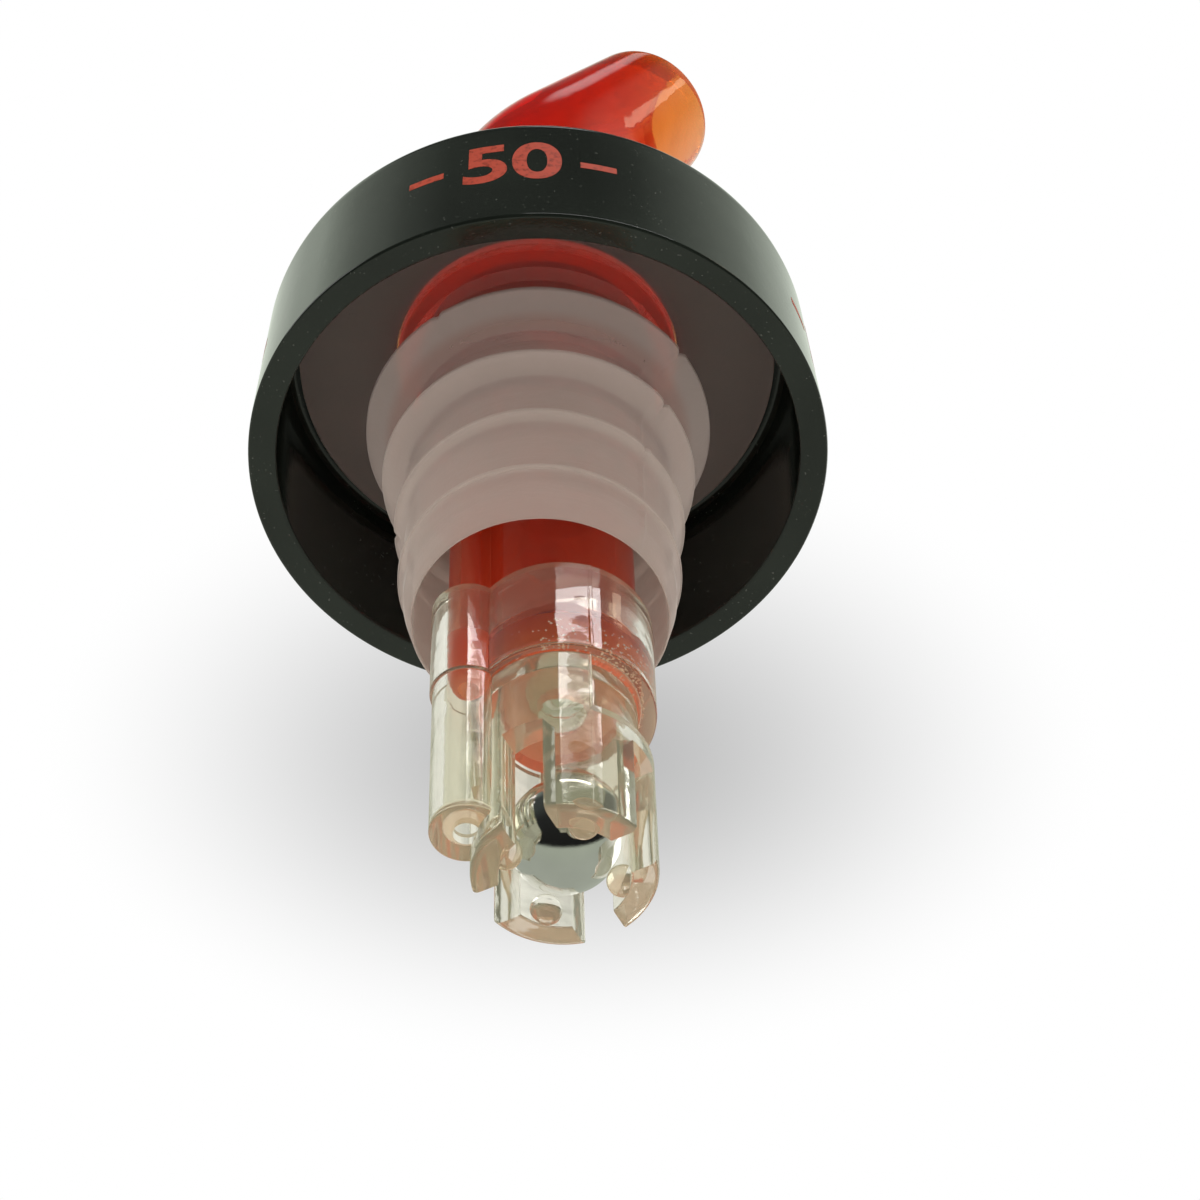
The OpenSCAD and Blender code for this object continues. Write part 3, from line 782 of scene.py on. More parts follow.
class POURER_OT_collar(bpy.types.Operator):
    """Builds the black skirted collar"""

    bl_idname = "pourer.collar"
    bl_label = "Collar"

    def execute(self, context):
        c = context.scene.pourer_collar
        head_r = context.scene.pourer_tubes.head_d / 2
        rim_r, bore_r = c.rim_d / 2, c.rim_d / 2 - c.wall
        top_r = rim_r - c.draft / 2
        low, ceiling = -c.rim_low, c.top_z - c.ceiling
        edge_z = c.top_z - c.edge
        edge_x = rim_r + (top_r - rim_r) * (edge_z - low) / (c.top_z - low) - c.edge
        outline = arc(bore_r + c.rim_edge, low + c.rim_edge, c.rim_edge, 180, 270)
        outline += arc(rim_r - c.rim_edge, low + c.rim_edge, c.rim_edge, 270, 360)
        outline += arc(edge_x, edge_z, c.edge, 0, 90, 12)
        outline += [(head_r + c.head_gap, c.top_z), (head_r + c.head_gap, ceiling)]
        outline += arc(bore_r - c.fillet, ceiling - c.fillet, c.fillet, 90, 0)
        piece = lathe("skirted_collar", outline, sides=256)
        finish_piece(piece, "black_plastic", BODY, "collar_black", "collar")
        return {"FINISHED"}


# The height of a digit as a share of the font's size
DIGIT_SHARE = 0.72


class POURER_OT_print(bpy.types.Operator):
    """Prints the measure and its short bars round the collar"""

    bl_idname = "pourer.print"
    bl_label = "Measure print"

    def execute(self, context):
        c = context.scene.pourer_collar
        text = bpy.data.curves.new("measure", "FONT")
        text.body = str(c.measure)
        text.size = c.print_tall / DIGIT_SHARE
        text.align_x, text.align_y = "CENTER", "CENTER"
        text.offset = 0.03 * c.print_tall
        writing = bpy.data.objects.new("measure", text)
        context.scene.collection.objects.link(writing)
        piece = bpy.data.objects.new("measure_prints", print_marks(writing, c))
        bpy.data.objects.remove(writing)
        context.scene.collection.objects.link(piece)
        wrap_on_collar(piece, c, c.print_turn)
        run_nodes(piece, ring_tree(), {"Count": c.print_count, "Material": material_of("print_ink")})
        finish_piece(piece, "print_ink", BODY, "collar_black")
        return {"FINISHED"}


def ring_tree():
    """Copies of the given mesh, evenly spaced round the Z axis."""
    tree, graph, given = new_tree("copies_round", [
        ("Geometry", "Geometry"), ("Count", "Int"), ("Material", "Material"),
    ])
    points = graph.add("GeometryNodePoints", Count=given["Count"])
    step = graph.maths("DIVIDE", 2 * math.pi, given["Count"])
    turn = graph.product(graph.add("GeometryNodeInputIndex"), step)
    copies = graph.add(
        "GeometryNodeInstanceOnPoints", Points=points, Instance=given["Geometry"],
        Rotation=graph.add("ShaderNodeCombineXYZ", Z=turn))
    end_tree(graph, given, copies)
    return tree


def print_marks(writing, c):
    """The number and two short level bars beside it as one flat mesh, cut fine enough to bend."""
    mesh = bpy.data.meshes.new_from_object(writing)
    bm = bmesh.new()
    bm.from_mesh(mesh)
    bpy.data.meshes.remove(mesh)
    half = max(v.co.x for v in bm.verts)
    bar_long, bar_thick, gap = 0.5 * c.print_tall, 0.15 * c.print_tall, 0.25 * c.print_tall
    for side in (-1, 1):
        near, far = side * (half + gap), side * (half + gap + bar_long)
        corners = [(near, -bar_thick / 2), (far, -bar_thick / 2), (far, bar_thick / 2), (near, bar_thick / 2)]
        bm.faces.new([bm.verts.new((x, y, 0)) for x, y in corners])
    reach = half + gap + bar_long
    cuts = 40
    for k in range(1, cuts):
        x = -reach + 2 * reach * k / cuts
        geometry = bm.verts[:] + bm.edges[:] + bm.faces[:]
        bmesh.ops.bisect_plane(bm, geom=geometry, plane_co=(x, 0, 0), plane_no=(1, 0, 0))
    bmesh.ops.recalc_face_normals(bm, faces=bm.faces)
    flat = bpy.data.meshes.new("marks")
    bm.to_mesh(flat)
    bm.free()
    return flat


def wrap_on_collar(piece, c, turn):
    """Gives the flat marks their thickness and bends them onto the skirt's slanted side."""
    bm = bmesh.new()
    bm.from_mesh(piece.data)
    made = bmesh.ops.extrude_face_region(bm, geom=bm.faces[:])
    bmesh.ops.translate(
        bm, vec=(0, 0, c.print_thick), verts=[v for v in made["geom"] if isinstance(v, bmesh.types.BMVert)])
    slope = (c.draft / 2) / (c.rim_low + c.top_z)
    for v in bm.verts:
        z = -c.print_z + v.co.y
        r = c.rim_d / 2 - slope * (z + c.rim_low) + v.co.z - c.print_thick / 4
        angle = turn + v.co.x / (c.rim_d / 2)
        v.co = Vector((r * math.cos(angle), r * math.sin(angle), z))
    bmesh.ops.remove_doubles(bm, verts=bm.verts, dist=1e-7)
    bmesh.ops.recalc_face_normals(bm, faces=bm.faces)
    bm.to_mesh(piece.data)
    bm.free()


class POURER_OT_stopper(bpy.types.Operator):
    """Builds the milky stopper with its flange, fins, nicks and mould seam"""

    bl_idname = "pourer.stopper"
    bl_label = "Stopper"

    def execute(self, context):
        s = context.scene.pourer_stopper
        bore_r = context.scene.pourer_tubes.plug_d / 2 + context.scene.pourer_spout.seat
        piece = lathe("finned_stopper", stopper_outline(s, bore_r), sides=360, shift=stopper_shift(s, bore_r))
        finish_piece(piece, "milky_plastic", BODY, "stopper_milky", "stopper", angle=math.radians(40))
        return {"FINISHED"}


# The fins from the top down: their diameters, and their rise as a share of the first one's
FIN_DIAMETERS = [v * MM for v in (21.6, 19.3, 17.6, 16.9)]
FIN_RISE_SHARES = [1, 0.79, 0.45, 0.31]


def stem_radius(s, depth):
    low = s.end - s.root_tall
    return (s.stem_top_d + (s.stem_low_d - s.stem_top_d) * (depth - s.root_tall) / low) / 2


def smooth_row(a, b, steps, bow=0.0):
    """Points from a up to but without b, bowed to the left of the way by bow."""
    (x0, z0), (x1, z1) = a, b
    dx, dz = x1 - x0, z1 - z0
    rows = []
    for i in range(steps):
        t = i / steps
        lift = bow * 4 * t * (1 - t)
        rows.append((x0 + dx * t - dz * lift, z0 + dz * t + dx * lift))
    return rows


def stopper_outline(s, bore_r):
    """The stopper's outline, from the top of its bore round the flange and down the fins."""
    lip = s.fin_edge / 4
    flange_r, root_r = s.flange_d / 2, s.root_d / 2
    points = [(bore_r, s.flange_tall)]
    points += arc(flange_r - lip, s.flange_tall - lip, lip, 90, 0, 4)
    points += arc(flange_r - lip, lip, lip, 0, -90, 4)
    points += arc(root_r + s.corner, -s.corner, s.corner, 90, 180, 4)
    points += [(root_r, -s.root_tall)]
    last = (stem_radius(s, s.root_tall), -s.root_tall - (s.root_d - s.stem_top_d) / 2)
    for i, fin_d in enumerate(FIN_DIAMETERS):
        depth = s.fin_first + i * s.fin_pitch
        rise = s.fin_rise * FIN_RISE_SHARES[i]
        top_root = (stem_radius(s, depth + rise), -depth - rise)
        low_root = (stem_radius(s, depth + rise + s.fin_root), -depth - rise - s.fin_root)
        edge_r = fin_d / 2
        points += smooth_row(last, top_root, 6)
        points += smooth_row(top_root, (edge_r - lip, -depth), 6, -0.05)
        points += arc(edge_r - lip, -depth - lip, lip, 90, 0, 3)
        points += arc(edge_r - lip, -depth - s.fin_edge + lip, lip, 0, -90, 3)
        points += smooth_row((edge_r - lip, -depth - s.fin_edge), low_root, 6, -0.06)[1:]
        last = low_root
    bevel_top = (stem_radius(s, s.end - s.bevel), -s.end + s.bevel)
    points += smooth_row(last, bevel_top, 6)
    end_r, edge = s.stem_end_d / 2, s.stem_end_edge
    points += [bevel_top, (end_r, -s.end + edge), (end_r - edge, -s.end)]
    points += [(bore_r + edge, -s.end), (bore_r, -s.end + edge)]
    return points


# Each nick: degrees round from +X, number of the fin from the top, and size as a share of the nicks' depth
NICKS = [
    (-143, 0, 0.6), (-52, 0, 1.1), (-54, 1, 1.0), (-61, 2, 0.6), (12, 0, 0.5), (95, 1, 0.7), (160, 2, 0.6),
]
# Widths of the nicks and of the seam, and the distance of the lifted edge beside a nick, in degrees
NICK_WIDTH = 1.2
NICK_LIP = 1.6
SEAM_WIDTH = 1.3
SEAM_ANGLES = (-60.0, 120.0)
# Points of the stopper that lie this near its bore keep their place
BORE_KEPT = 0.2 * MM
# Waves of the stopper's surface, the most that they add at a fin's edge, and the sag of the fins
WAVE = 0.035 * MM
EDGE_WAVE = 0.1 * MM
SAG = 0.12 * MM


def off_by(degrees, other):
    """How far one direction lies from another, between -180 and 180 degrees."""
    return (degrees - other + 180) % 360 - 180


def stopper_shift(s, bore_r):
    """Waves, nicks and the ragged mould seam, as a shift of each point of the turned outline."""

    def shift(r, z, turn):
        if r < bore_r + BORE_KEPT or z > -s.root_tall:
            return r, z
        across, along = math.cos(turn), math.sin(turn)
        wave = noise.noise(Vector((across * 2.2, along * 2.2, z / MM * 0.35))) * WAVE
        fin = min(range(len(FIN_DIAMETERS)), key=lambda i: abs(-z - s.fin_first - i * s.fin_pitch))
        stem_r = stem_radius(s, -z)
        proud = max(0.0, r - stem_r) / (FIN_DIAMETERS[fin] / 2 - stem_r)
        degrees = math.degrees(turn)
        for nick_turn, nick_fin, size in NICKS:
            if nick_fin == fin and proud > 0.4:
                off, depth = off_by(degrees, nick_turn), s.nick_deep * size * proud
                wave -= depth * math.exp(-((off / NICK_WIDTH) ** 2))
                z += 0.5 * depth * math.exp(-(((off - NICK_LIP) / NICK_WIDTH) ** 2))
        for seam in SEAM_ANGLES:
            ragged = 0.45 + 0.9 * abs(noise.noise(Vector((seam, z / MM * 1.7, 0.3))))
            ridge = s.seam_tall * ragged * math.exp(-((off_by(degrees, seam) / SEAM_WIDTH) ** 2))
            wave += ridge * (1 - 0.8 * min(1.0, proud))
        sag = noise.noise(Vector((across * 1.6, along * 1.6, fin * 3.1))) * SAG
        return r + min(wave, EDGE_WAVE) if proud > 0.8 else r + wave, z + sag * min(1.0, proud)

    return shift


# The wall over the vent ball's chamber, and how far the side inlets begin below the outlet seat
CHAMBER_COVER = 1 * MM
INLET_DROP = 0.05 * MM


class POURER_OT_body(bpy.types.Operator):
    """Builds the red metering body with its ball tube and air tube"""

    bl_idname = "pourer.body"
    bl_label = "Metering body"

    def execute(self, context):
        t = context.scene.pourer_tubes
        collar = context.scene.pourer_collar
        tube_r, bore_r, air_r = t.tube_d / 2, t.tube_bore / 2, t.air_d / 2
        socket_floor = collar.top_z - t.socket_deep
        piece = rod("metering_tubes", 0, t.head_d / 2, t.head_low, collar.top_z, t.edge, t.edge)
        combine(piece, [
            rod("plug", 0, t.plug_d / 2, -t.plug_end, t.head_low + OVER, t.edge),
            rod("tube", t.tube_x, tube_r, -t.tube_end, -t.plug_end + OVER, t.edge),
            rod("air", -t.air_x, air_r, -t.air_end, -t.plug_end + OVER, air_r * 0.9, sides=72),
            block("web", (-t.air_x, -t.web / 2, -t.tube_end + OVER),
                  (t.tube_x - bore_r - OVER, t.web / 2, -t.plug_end + OVER)),
        ], "UNION")
        cone_low = -t.plug_end - t.outlet_drop
        seat_r = t.outlet_bore / 2
        seat_top = cone_low + bore_r - seat_r
        passage = [
            (0, -t.tube_end - OVER), (bore_r, -t.tube_end - OVER), (bore_r, cone_low), (seat_r, seat_top),
            (seat_r, seat_top + seat_r), (bore_r, socket_floor - OVER), (bore_r, socket_floor + OVER),
            (0, socket_floor + OVER),
        ]
        chamber_top = socket_floor - CHAMBER_COVER
        inlet_z = cone_low - t.inlet_tall / 2 - INLET_DROP
        combine(piece, [
            lathe("passage", passage, 144, t.tube_x),
            slot_cutter("inlet", t.tube_x, inlet_z, t.inlet_wide, t.inlet_tall, t.tube_d + OVER),
            rod("socket", 0, t.socket_d / 2, socket_floor, collar.top_z + OVER),
            rod("air_bore", -t.air_x, t.air_bore / 2, -t.air_end - OVER, socket_floor + OVER, sides=48),
            rod("chamber", -t.air_x, t.chamber_bore / 2, chamber_top - t.chamber_tall, chamber_top, sides=64),
        ], "DIFFERENCE")
        finish_piece(piece, "red_plastic_body", BODY, "body_red", "metering_body")
        return {"FINISHED"}


def slot_cutter(name, x, z, wide, tall, deep):
    """A level cutter along Y with a round-ended upright outline."""
    r, half = wide / 2, (tall - wide) / 2
    outline = arc(0, half, r, 0, 180, 16) + arc(0, -half, r, 180, 360, 16)
    return stack(name, [[(x + u, y, z + v) for u, v in outline] for y in (-deep / 2, deep / 2)])


class POURER_OT_cap(bpy.types.Operator):
    """Builds the clear cap: twin sleeve, neck, four fingers with nubs, and the air sleeve"""

    bl_idname = "pourer.cap"
    bl_label = "Cage cap"

    def execute(self, context):
        t, c = context.scene.pourer_tubes, context.scene.pourer_cap
        gap = context.scene.pourer_spout.seat
        x = t.tube_x
        sleeve_low = -c.sleeve_top - c.sleeve_tall
        cage_r, bore_r, low = c.cage_d / 2, c.cage_bore / 2, -c.cage_low
        floor_top = -t.tube_end
        floor_low = floor_top - c.floor
        air_low = sleeve_low - c.air_sleeve_tall
        neck = [(0, floor_low), (0, sleeve_low + OVER), (cage_r, sleeve_low + OVER)]
        neck += arc(cage_r - c.tip, low + c.tip, c.tip, 0, -90)
        neck += arc(bore_r + c.edge, low + c.edge, c.edge, -90, -180)
        neck += [(bore_r, floor_low)]
        piece = lathe("ball_cage_cap", neck, 160, x)
        combine(piece, cage_slots(c, x), "DIFFERENCE")
        groove_low = sleeve_low - c.groove_tall
        combine(piece, [half_groove(c, x, groove_low, sleeve_low + OVER / 2)], "DIFFERENCE")
        nub_z = low + c.nub_d / 2
        nubs = [ball("nub_%d" % k, c.nub_d / 2, (
            x + (bore_r - c.nub_inset) * math.cos(k * math.pi / 2),
            (bore_r - c.nub_inset) * math.sin(k * math.pi / 2), nub_z), rows=32) for k in range(4)]
        line, proud, deep = c.line_wide / 2, c.line_tall, c.line_deep
        sleeve_y, cage_y = -c.sleeve_d / 2, -cage_r
        combine(piece, nubs + [
            block("sleeve_line", (x - line, sleeve_y - proud, sleeve_low + c.edge),
                  (x + line, sleeve_y + deep, -c.sleeve_top - c.edge)),
            block("cage_line", (x - line, cage_y - proud, low + c.tip),
                  (x + line, cage_y + deep, sleeve_low + OVER)),
            rod("sleeve", x, c.sleeve_d / 2, sleeve_low, -c.sleeve_top, c.edge, c.edge, 192),
            rod("air_socket", -t.air_x, c.air_socket_d / 2, sleeve_low, -c.sleeve_top, c.edge, c.edge, 96),
            rod("air_sleeve", -t.air_x, c.air_sleeve_d / 2, air_low, sleeve_low + OVER, c.edge, 0, 96),
        ], "UNION")
        combine(piece, [
            rod("socket", x, t.tube_d / 2 + gap, floor_top, -c.sleeve_top + OVER, 0.3 * c.edge, 0, 192),
            rod("orifice", x, c.orifice_bore / 2, floor_low - OVER, floor_top + OVER, sides=72),
            rod("air_room", -t.air_x, c.air_sleeve_bore / 2, air_low + c.air_end_wall,
                -c.sleeve_top + OVER, c.edge, 0, 96),
            rod("air_hole", -t.air_x, c.air_end_bore / 2, air_low - OVER, air_low + c.air_end_wall + OVER,
                sides=64),
            block("web_room", (-t.air_x, -t.web / 2 - gap, floor_top),
                  (0, t.web / 2 + gap, -c.sleeve_top + OVER)),
            rod("ball_room", x, bore_r, nub_z + c.nub_d / 2, floor_low),
        ], "DIFFERENCE")
        finish_piece(piece, "clear_plastic", BODY, "cap_clear", "cage_cap")
        return {"FINISHED"}


# The way from the tube's axis to the side where most bubbles lie, and the seed of their places and sizes
BUBBLE_SIDE = (0.8, -0.6, 0.0)
BUBBLE_SEED = 7


class POURER_OT_bubbles(bpy.types.Operator):
    """Scatters the bubbles that were caught where the tube is bonded into the cap"""

    bl_idname = "pourer.bubbles"
    bl_label = "Bond bubbles"

    def execute(self, context):
        t, c = context.scene.pourer_tubes, context.scene.pourer_cap
        near, far = t.tube_bore / 2 + c.bubble_d, t.tube_d / 2 + 0.7 * c.bubble_d
        low, high = -t.tube_end - 0.3 * c.bubble_d, -t.tube_end + 0.6 * c.bond_tall
        piece = open_rings("bond_bubbles", [(near, low), (far, low), (far, high)], 96)
        run_nodes(piece, bubble_tree(), {
            "Density": c.bubbles / MM ** 2, "Largest": c.bubble_d / 2, "Patch Scale": 1 / c.bubble_patch,
            "Side": BUBBLE_SIDE, "Seed": BUBBLE_SEED, "Material": material_of("bubble"),
        })
        place(piece, Matrix.Translation((t.tube_x, 0, 0)))
        finish_piece(piece, "bubble", BODY, "cap_clear")
        return {"FINISHED"}


def bubble_tree():
    """Bubbles of mixed sizes in patches on the given faces, mostly on the side that Side points to."""
    tree, graph, given = new_tree("bubbles", [
        ("Geometry", "Geometry"), ("Density", "Float"), ("Largest", "Float"), ("Patch Scale", "Float"),
        ("Side", "Vector"), ("Seed", "Int"), ("Material", "Material"),
    ])
    where = graph.add("GeometryNodeInputPosition")
    patches = graph.span(graph.noise(where, given["Patch Scale"]), 0.42, 0.58)
    side = graph.span(graph.dot(where, given["Side"]), -1.5 * MM, 2 * MM)
    points = graph.add(
        "GeometryNodeDistributePointsOnFaces", Mesh=given["Geometry"], Seed=given["Seed"],
        Density=graph.product(patches, side, given["Density"]))
    size = graph.add("FunctionNodeRandomValue", {"data_type": "FLOAT"}, _2=0.3, _3=1.0, Seed=given["Seed"])
    ball_of_one = graph.add("GeometryNodeMeshIcoSphere", Radius=given["Largest"], Subdivisions=2)
    placed = graph.add(
        "GeometryNodeInstanceOnPoints", Points=points, Instance=ball_of_one, Scale=size.outputs[1])
    end_tree(graph, given, placed)
    return tree


def cage_slots(c, x):
    """The two crossing cutters that part the fingers."""
    low, top = -c.cage_low - OVER, -c.cage_low + c.slot_tall
    cutters = []
    for turn in (45, 135):
        cutter = block("slot_%d" % turn, (-c.cage_d, -c.slot_wide / 2, low), (c.cage_d, c.slot_wide / 2, top))
        to_place = Matrix.Translation((x, 0, 0)) @ Matrix.Rotation(math.radians(turn), 4, "Z")
        cutters.append(place(cutter, to_place))
    return cutters


def half_groove(c, x, low, high):
    """The cutter of the groove that runs half way round under the sleeve."""
    inner, outer = c.cage_d / 2 - c.groove_deep, c.cage_d
    section = ((inner, low), (outer, low), (outer, high), (inner, high))
    steps = 64
    turns = [math.pi * (i / steps - 0.5) for i in range(steps + 1)]
    rings = [[(x + r * math.cos(a), r * math.sin(a), z) for r, z in section] for a in turns]
    return stack("half_groove", rings)


def ball(name, r, centre, rows=64):
    """A closed sphere whose poles lie along Z."""
    outline = arc(0, centre[2], r, -90, 90, rows)
    outline[0], outline[-1] = (0, centre[2] - r), (0, centre[2] + r)
    return place(lathe(name, outline, 2 * rows), Matrix.Translation((centre[0], centre[1], 0)))


class POURER_OT_balls(bpy.types.Operator):
    """Builds the cage ball, the timing ball and the vent ball"""

    bl_idname = "pourer.balls"
    bl_label = "Balls"

    def execute(self, context):
        for node in ("cage_ball", "timing_ball", "vent_ball"):
            low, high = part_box(node)
            piece = ball("steel_" + node, (high.z - low.z) / 2, (low + high) / 2)
            finish_piece(piece, "polished_steel", node, "ball_steel", node, angle=math.radians(80))
        return {"FINISHED"}


class POURER_OT_spout(bpy.types.Operator):
    """Builds the leaning spout with its liquid passage and air passage"""

    bl_idname = "pourer.spout"
    bl_label = "Spout"

    def execute(self, context):
        scene = context.scene
        line = SpoutLine(scene)
        s, t = scene.pourer_spout, scene.pourer_tubes
        count, lip_steps = 48, 6
        rows = [(line.long - s.lip) * i / count for i in range(count + 1)]
        outside = [line.ring(v, line.outer(v), 0, 120) for v in rows]
        for i in range(1, lip_steps + 1):
            a = math.pi / 2 * i / lip_steps
            v = line.long - s.lip * (1 - math.sin(a))
            outside.append(line.ring(v, line.outer(v) - s.lip * (1 - math.cos(a)), 0, 120))
        piece = stack("pouring_spout", outside)
        socket_floor = line.foot_z - t.socket_deep
        shoulder_top = line.foot_z + s.shoulder_tall
        combine(piece, [
            rod("shoulder", 0, s.shoulder_d / 2, line.foot_z, shoulder_top, 0, s.shoulder_edge),
            rod("spigot", 0, t.socket_d / 2 - s.seat, socket_floor + s.seat,
                line.foot_z + s.shoulder_tall / 2),
        ], "UNION")
        start = s.shoulder_tall
        inside = [start + (line.long + OVER - start) * i / count for i in range(count + 1)]
        air = [-OVER + (line.long + 2 * OVER) * i / count for i in range(count + 1)]
        combine(piece, [
            stack("passage", [line.ring(v, line.passage(v)[0], line.passage(v)[1], 96) for v in inside]),
            rod("spigot_bore", t.tube_x, t.tube_bore / 2, socket_floor - OVER, shoulder_top + OVER),
            stack("air", [line.ring(v, s.air_bore / 2, line.air(v), 40) for v in air]),
            rod("spigot_air", -t.air_x, s.air_bore / 2 + s.seat, socket_floor - OVER, line.foot_z, sides=40),
        ], "DIFFERENCE")
        finish_piece(piece, "red_plastic_spout", BODY, "spout_red", "spout")
        return {"FINISHED"}


class SpoutLine:
    """The spout's centreline and the sizes of its sections along it."""

    def __init__(self, scene):
        self.s, self.t = scene.pourer_spout, scene.pourer_tubes
        self.foot_z = scene.pourer_collar.top_z
        s = self.s
        arm = s.bend * math.tan(s.tilt / 2)
        knee = s.height - s.reach / math.tan(s.tilt)
        self.bend_start = knee - arm - self.foot_z
        self.bend_long = s.bend * s.tilt
        self.long = self.bend_start + self.bend_long + s.reach / math.sin(s.tilt) - arm

    def at(self, v):
        """Centre x, centre z and lean of the section at v along the line."""
        s = self.s
        if v <= self.bend_start:
            return 0.0, self.foot_z + v, 0.0
        if v <= self.bend_start + self.bend_long:
            a = (v - self.bend_start) / s.bend
            return s.bend * (1 - math.cos(a)), self.foot_z + self.bend_start + s.bend * math.sin(a), a
        back = self.long - v
        return s.reach - back * math.sin(s.tilt), s.height - back * math.cos(s.tilt), s.tilt

    def outer(self, v):
        return (self.s.foot_d + (self.s.mouth_d - self.s.foot_d) * v / self.long) / 2

    def air(self, v):
        mouth = self.s.mouth_wall + self.s.air_bore / 2 - self.s.mouth_d / 2
        return -self.t.air_x + (mouth + self.t.air_x) * v / self.long

    def passage(self, v):
        """Radius and offset of the liquid passage."""
        wall = self.s.foot_wall + (self.s.mouth_wall - self.s.foot_wall) * v / self.long
        near = self.air(v) + self.s.air_bore / 2 + self.s.web
        far = self.outer(v) - wall
        return (far - near) / 2, (far + near) / 2

    def ring(self, v, r, off, sides):
        x, z, lean = self.at(v)
        points = []
        for i in range(sides):
            a = 2 * math.pi * i / sides
            u = off + r * math.cos(a)
            points.append((x + u * math.cos(lean), r * math.sin(a), z - u * math.sin(lean)))
        return points


# Stage

VIEW_FROM = Vector((-38.4, -115.8, -183.6)) * MM
VIEW_ALONG = Vector((0.2085, 0.5728, 0.7927)).normalized()
VIEW_RIGHT = Vector((0.9397, -0.3420, 0.0)).normalized()
VIEW_ROLL = math.radians(2)
SENSOR = 36


def view_axes():
    """The picture's right and up directions."""
    up = VIEW_RIGHT.cross(VIEW_ALONG)
    right = math.cos(VIEW_ROLL) * VIEW_RIGHT - math.sin(VIEW_ROLL) * up
    return right.normalized(), (math.sin(VIEW_ROLL) * VIEW_RIGHT + math.cos(VIEW_ROLL) * up).normalized()


class POURER_OT_stage(bpy.types.Operator):
    """Sets up the camera, the lamps, the pale floor and the background"""

    bl_idname = "pourer.stage"
    bl_label = "Stage"

    def execute(self, context):
        stage = context.scene.pourer_stage
        context.scene.view_settings.view_transform = "Standard"
        add_camera(context.scene, stage)
        add_lamps(context.scene, stage)
        add_floor(stage)
        add_world(context.scene, stage)
        return {"FINISHED"}


def add_camera(scene, stage):
    camera = bpy.data.cameras.new("camera")
    camera.lens = stage.focal
    camera.sensor_width = SENSOR
    camera.clip_start = 0.01
    camera.clip_end = 20
    holder = bpy.data.objects.new("camera", camera)
    scene.collection.objects.link(holder)
    right, up = view_axes()
    turn = Matrix((right, up, -VIEW_ALONG)).transposed().to_4x4()
    holder.matrix_world = Matrix.Translation(VIEW_FROM) @ turn
    scene.camera = holder


NEUTRAL = (1.0, 1.0, 1.0)
# Each lamp: name, degrees round from +X, degrees above level, distance, width, height, brightness, tint
LAMPS = [
    ("key_softbox", -85, 53.4, 0.45, 0.28, 0.042, 7.0, NEUTRAL),
    ("key_foot", -85, 49.4, 0.45, 0.28, 0.022, 1.6, NEUTRAL),
    ("strip_light", -33, 54, 0.45, 0.06, 0.05, 1.9, (1.0, 0.82, 0.6)),
    ("left_softbox", 178, 29, 0.5, 0.26, 0.2, 2.0, NEUTRAL),
    ("right_softbox", 20, 25, 0.5, 0.26, 0.24, 1.6, NEUTRAL),
]


def direction(turn, rise):
    """The way that lies turn round from +X and rise above level."""
    return Vector((math.cos(rise) * math.cos(turn), math.cos(rise) * math.sin(turn), math.sin(rise)))


def add_lamps(scene, stage):
    """Soft rectangular lamps round the object, all facing it; a brightness of 1 is a white wall."""
    middle = Vector((0, 0, -20 * MM))
    for name, around, raised, distance, wide, tall, bright, tint in LAMPS:
        way = direction(math.radians(around), math.radians(raised))
        lamp = bpy.data.lights.new(name, "AREA")
        lamp.shape = "RECTANGLE"
        lamp.size, lamp.size_y = wide, tall
        lamp.color = tint
        lamp.energy = bright * stage.lamp_power * math.pi * wide * tall
        holder = bpy.data.objects.new(name, lamp)
        scene.collection.objects.link(holder)
        side = Vector((0, 0, 1)).cross(way).normalized()
        turn = Matrix((side, way.cross(side), way)).transposed().to_4x4()
        holder.matrix_world = Matrix.Translation(middle + way * distance) @ turn


# Where the floor begins to fade out and where it is gone, as shares of its width
FLOOR_FADE = (0.08, 0.3)


def add_floor(stage):
    """A pale floor that fades out far away, and that shows from above only."""
    half = stage.floor_size / 2
    z = CAD_BOX[0][2] - 0.1 * MM
    floor = solid(
        "floor", [(-half, -half, z), (half, -half, z), (half, half, z), (-half, half, z)], [(0, 1, 2, 3)])
    material, graph, where, output = new_material("pale_floor")
    speckle = graph.noise(where, 900, 3.0, 0.5)
    shader = graph.add(
        "ShaderNodeBsdfPrincipled", Roughness=0.7, Specular_IOR_Level=0.0,
        Normal=graph.bump(speckle, 0.02 * MM),
        Base_Color=graph.blend(speckle, rgba(stage.floor_tone), rgba(stage.floor_pale)))
    behind = graph.add("ShaderNodeNewGeometry").outputs["Backfacing"]
    away = graph.add("ShaderNodeVectorMath", {"operation": "LENGTH"}, _0=where).outputs["Value"]
    near, far = FLOOR_FADE
    gone = graph.maths("MAXIMUM", behind, graph.span(away, near * stage.floor_size, far * stage.floor_size))
    window = graph.add("ShaderNodeBsdfTransparent")
    graph.put(output.inputs["Surface"], graph.mix(gone, shader, window))
    floor.data.materials.append(material)
    floor.visible_glossy = False
    floor.visible_shadow = False
    floor.visible_transmission = False


# The soft grey shade behind the object: its middle and its reach from there in pixels of a picture that is
# FRAME_PX wide, and how bright it is in its middle
FRAME_PX = 1200
SHADE_MIDDLE = (572, 755)
SHADE_REACH = (545, 315)
SHADE_DARK = 0.495
